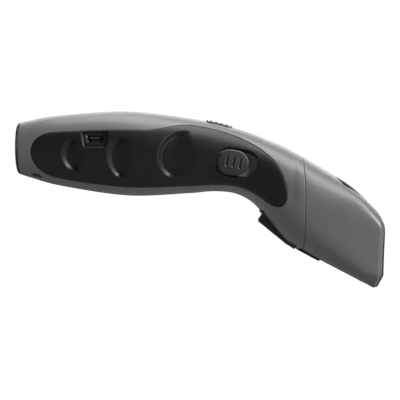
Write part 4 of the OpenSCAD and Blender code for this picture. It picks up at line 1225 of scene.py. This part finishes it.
floor_mesh = bpy.data.meshes.new("floor_sheet")
floor_mesh.from_pydata([(x, y, 0) for x, y in FLOOR_HALF * CORNERS], [], [(0, 1, 2, 3)])
floor_mesh.materials.append(paper("floor_paper"))
floor = bpy.data.objects.new("floor_sheet", floor_mesh)
scene.collection.objects.link(floor)

# The room: white behind the object, and a soft grey round it that is paler overhead
world = bpy.data.worlds.new("studio")
scene.world = world
world.use_nodes = True
room_tree = world.node_tree
room, room_link = room_tree.nodes["Background"], room_tree.links.new
white = add_node(room_tree, "Background", {"Color": (1, 1, 1, 1), "Strength": PLAIN_WHITE})
where = add_node(room_tree, "TexCoord")
split = add_node(room_tree, "SeparateXYZ")
height = add_node(room_tree, "MapRange", {"From Min": -0.1, "From Max": 1.0, "To Min": ROOM_LOW,
                                          "To Max": ROOM_HIGH})
seen = add_node(room_tree, "LightPath")
choose = add_node(room_tree, "MixShader")
room_link(where.outputs["Generated"], split.inputs["Vector"])
room_link(split.outputs["Z"], height.inputs["Value"])
room_link(height.outputs["Result"], room.inputs["Strength"])
room_link(seen.outputs["Is Camera Ray"], choose.inputs["Fac"])
room_link(room.outputs["Background"], choose.inputs[1])
room_link(white.outputs["Background"], choose.inputs[2])
room_link(choose.outputs["Shader"], room_tree.nodes["World Output"].inputs["Surface"])

# The camera looks square at the side, and is rolled so that the handle's own frame is upright
CAMERA_GAP, VIEW_WIDTH = 0.52, 0.180
EYE = Vector(to_row([81.675, 0, -23.31])) + Vector((0, -CAMERA_GAP, 0))
camera_data = bpy.data.cameras.new("camera")
camera_data.lens = camera_data.sensor_width * CAMERA_GAP / VIEW_WIDTH
camera_data.clip_start = 0.01
camera = bpy.data.objects.new("camera", camera_data)
right, up, back = Vector(TIP[:, 0]), Vector(TIP[:, 2]), Vector((0, -1, 0))
rotation = Matrix((right, up, back)).transposed()
camera.matrix_world = Matrix.Translation(EYE) @ rotation.to_4x4()
scene.collection.objects.link(camera)
scene.camera = camera


def softbox(name, place, aim, size, power):
    """A rectangular area light that faces a point."""
    data = bpy.data.lights.new(name, "AREA")
    data.shape = "RECTANGLE"
    data.size, data.size_y = size
    data.energy = power
    lamp = bpy.data.objects.new(name, data)
    lamp.location = place
    direction = Vector(aim) - Vector(place)
    lamp.rotation_euler = direction.to_track_quat("-Z", "Y").to_euler()
    scene.collection.objects.link(lamp)


def beside(x, front, height):
    """A place round the object: x along the handle, front towards the camera, height off the handle."""
    return Vector((0, 0, 0.03)) + Vector(TIP[:, 0]) * x + Vector((0, -front, 0)) + Vector(TIP[:, 2]) * height


AIM = beside(0, 0, 0)
softbox("top_softbox", beside(0.14, 0.04, 0.52), AIM, (0.9, 0.34), 5.6)
softbox("back_softbox", beside(0.0, -0.55, 0.35), AIM, (0.9, 0.4), 3)
softbox("right_fill", beside(0.66, 0.50, 0.34), AIM, (0.26, 0.26), 8.5)
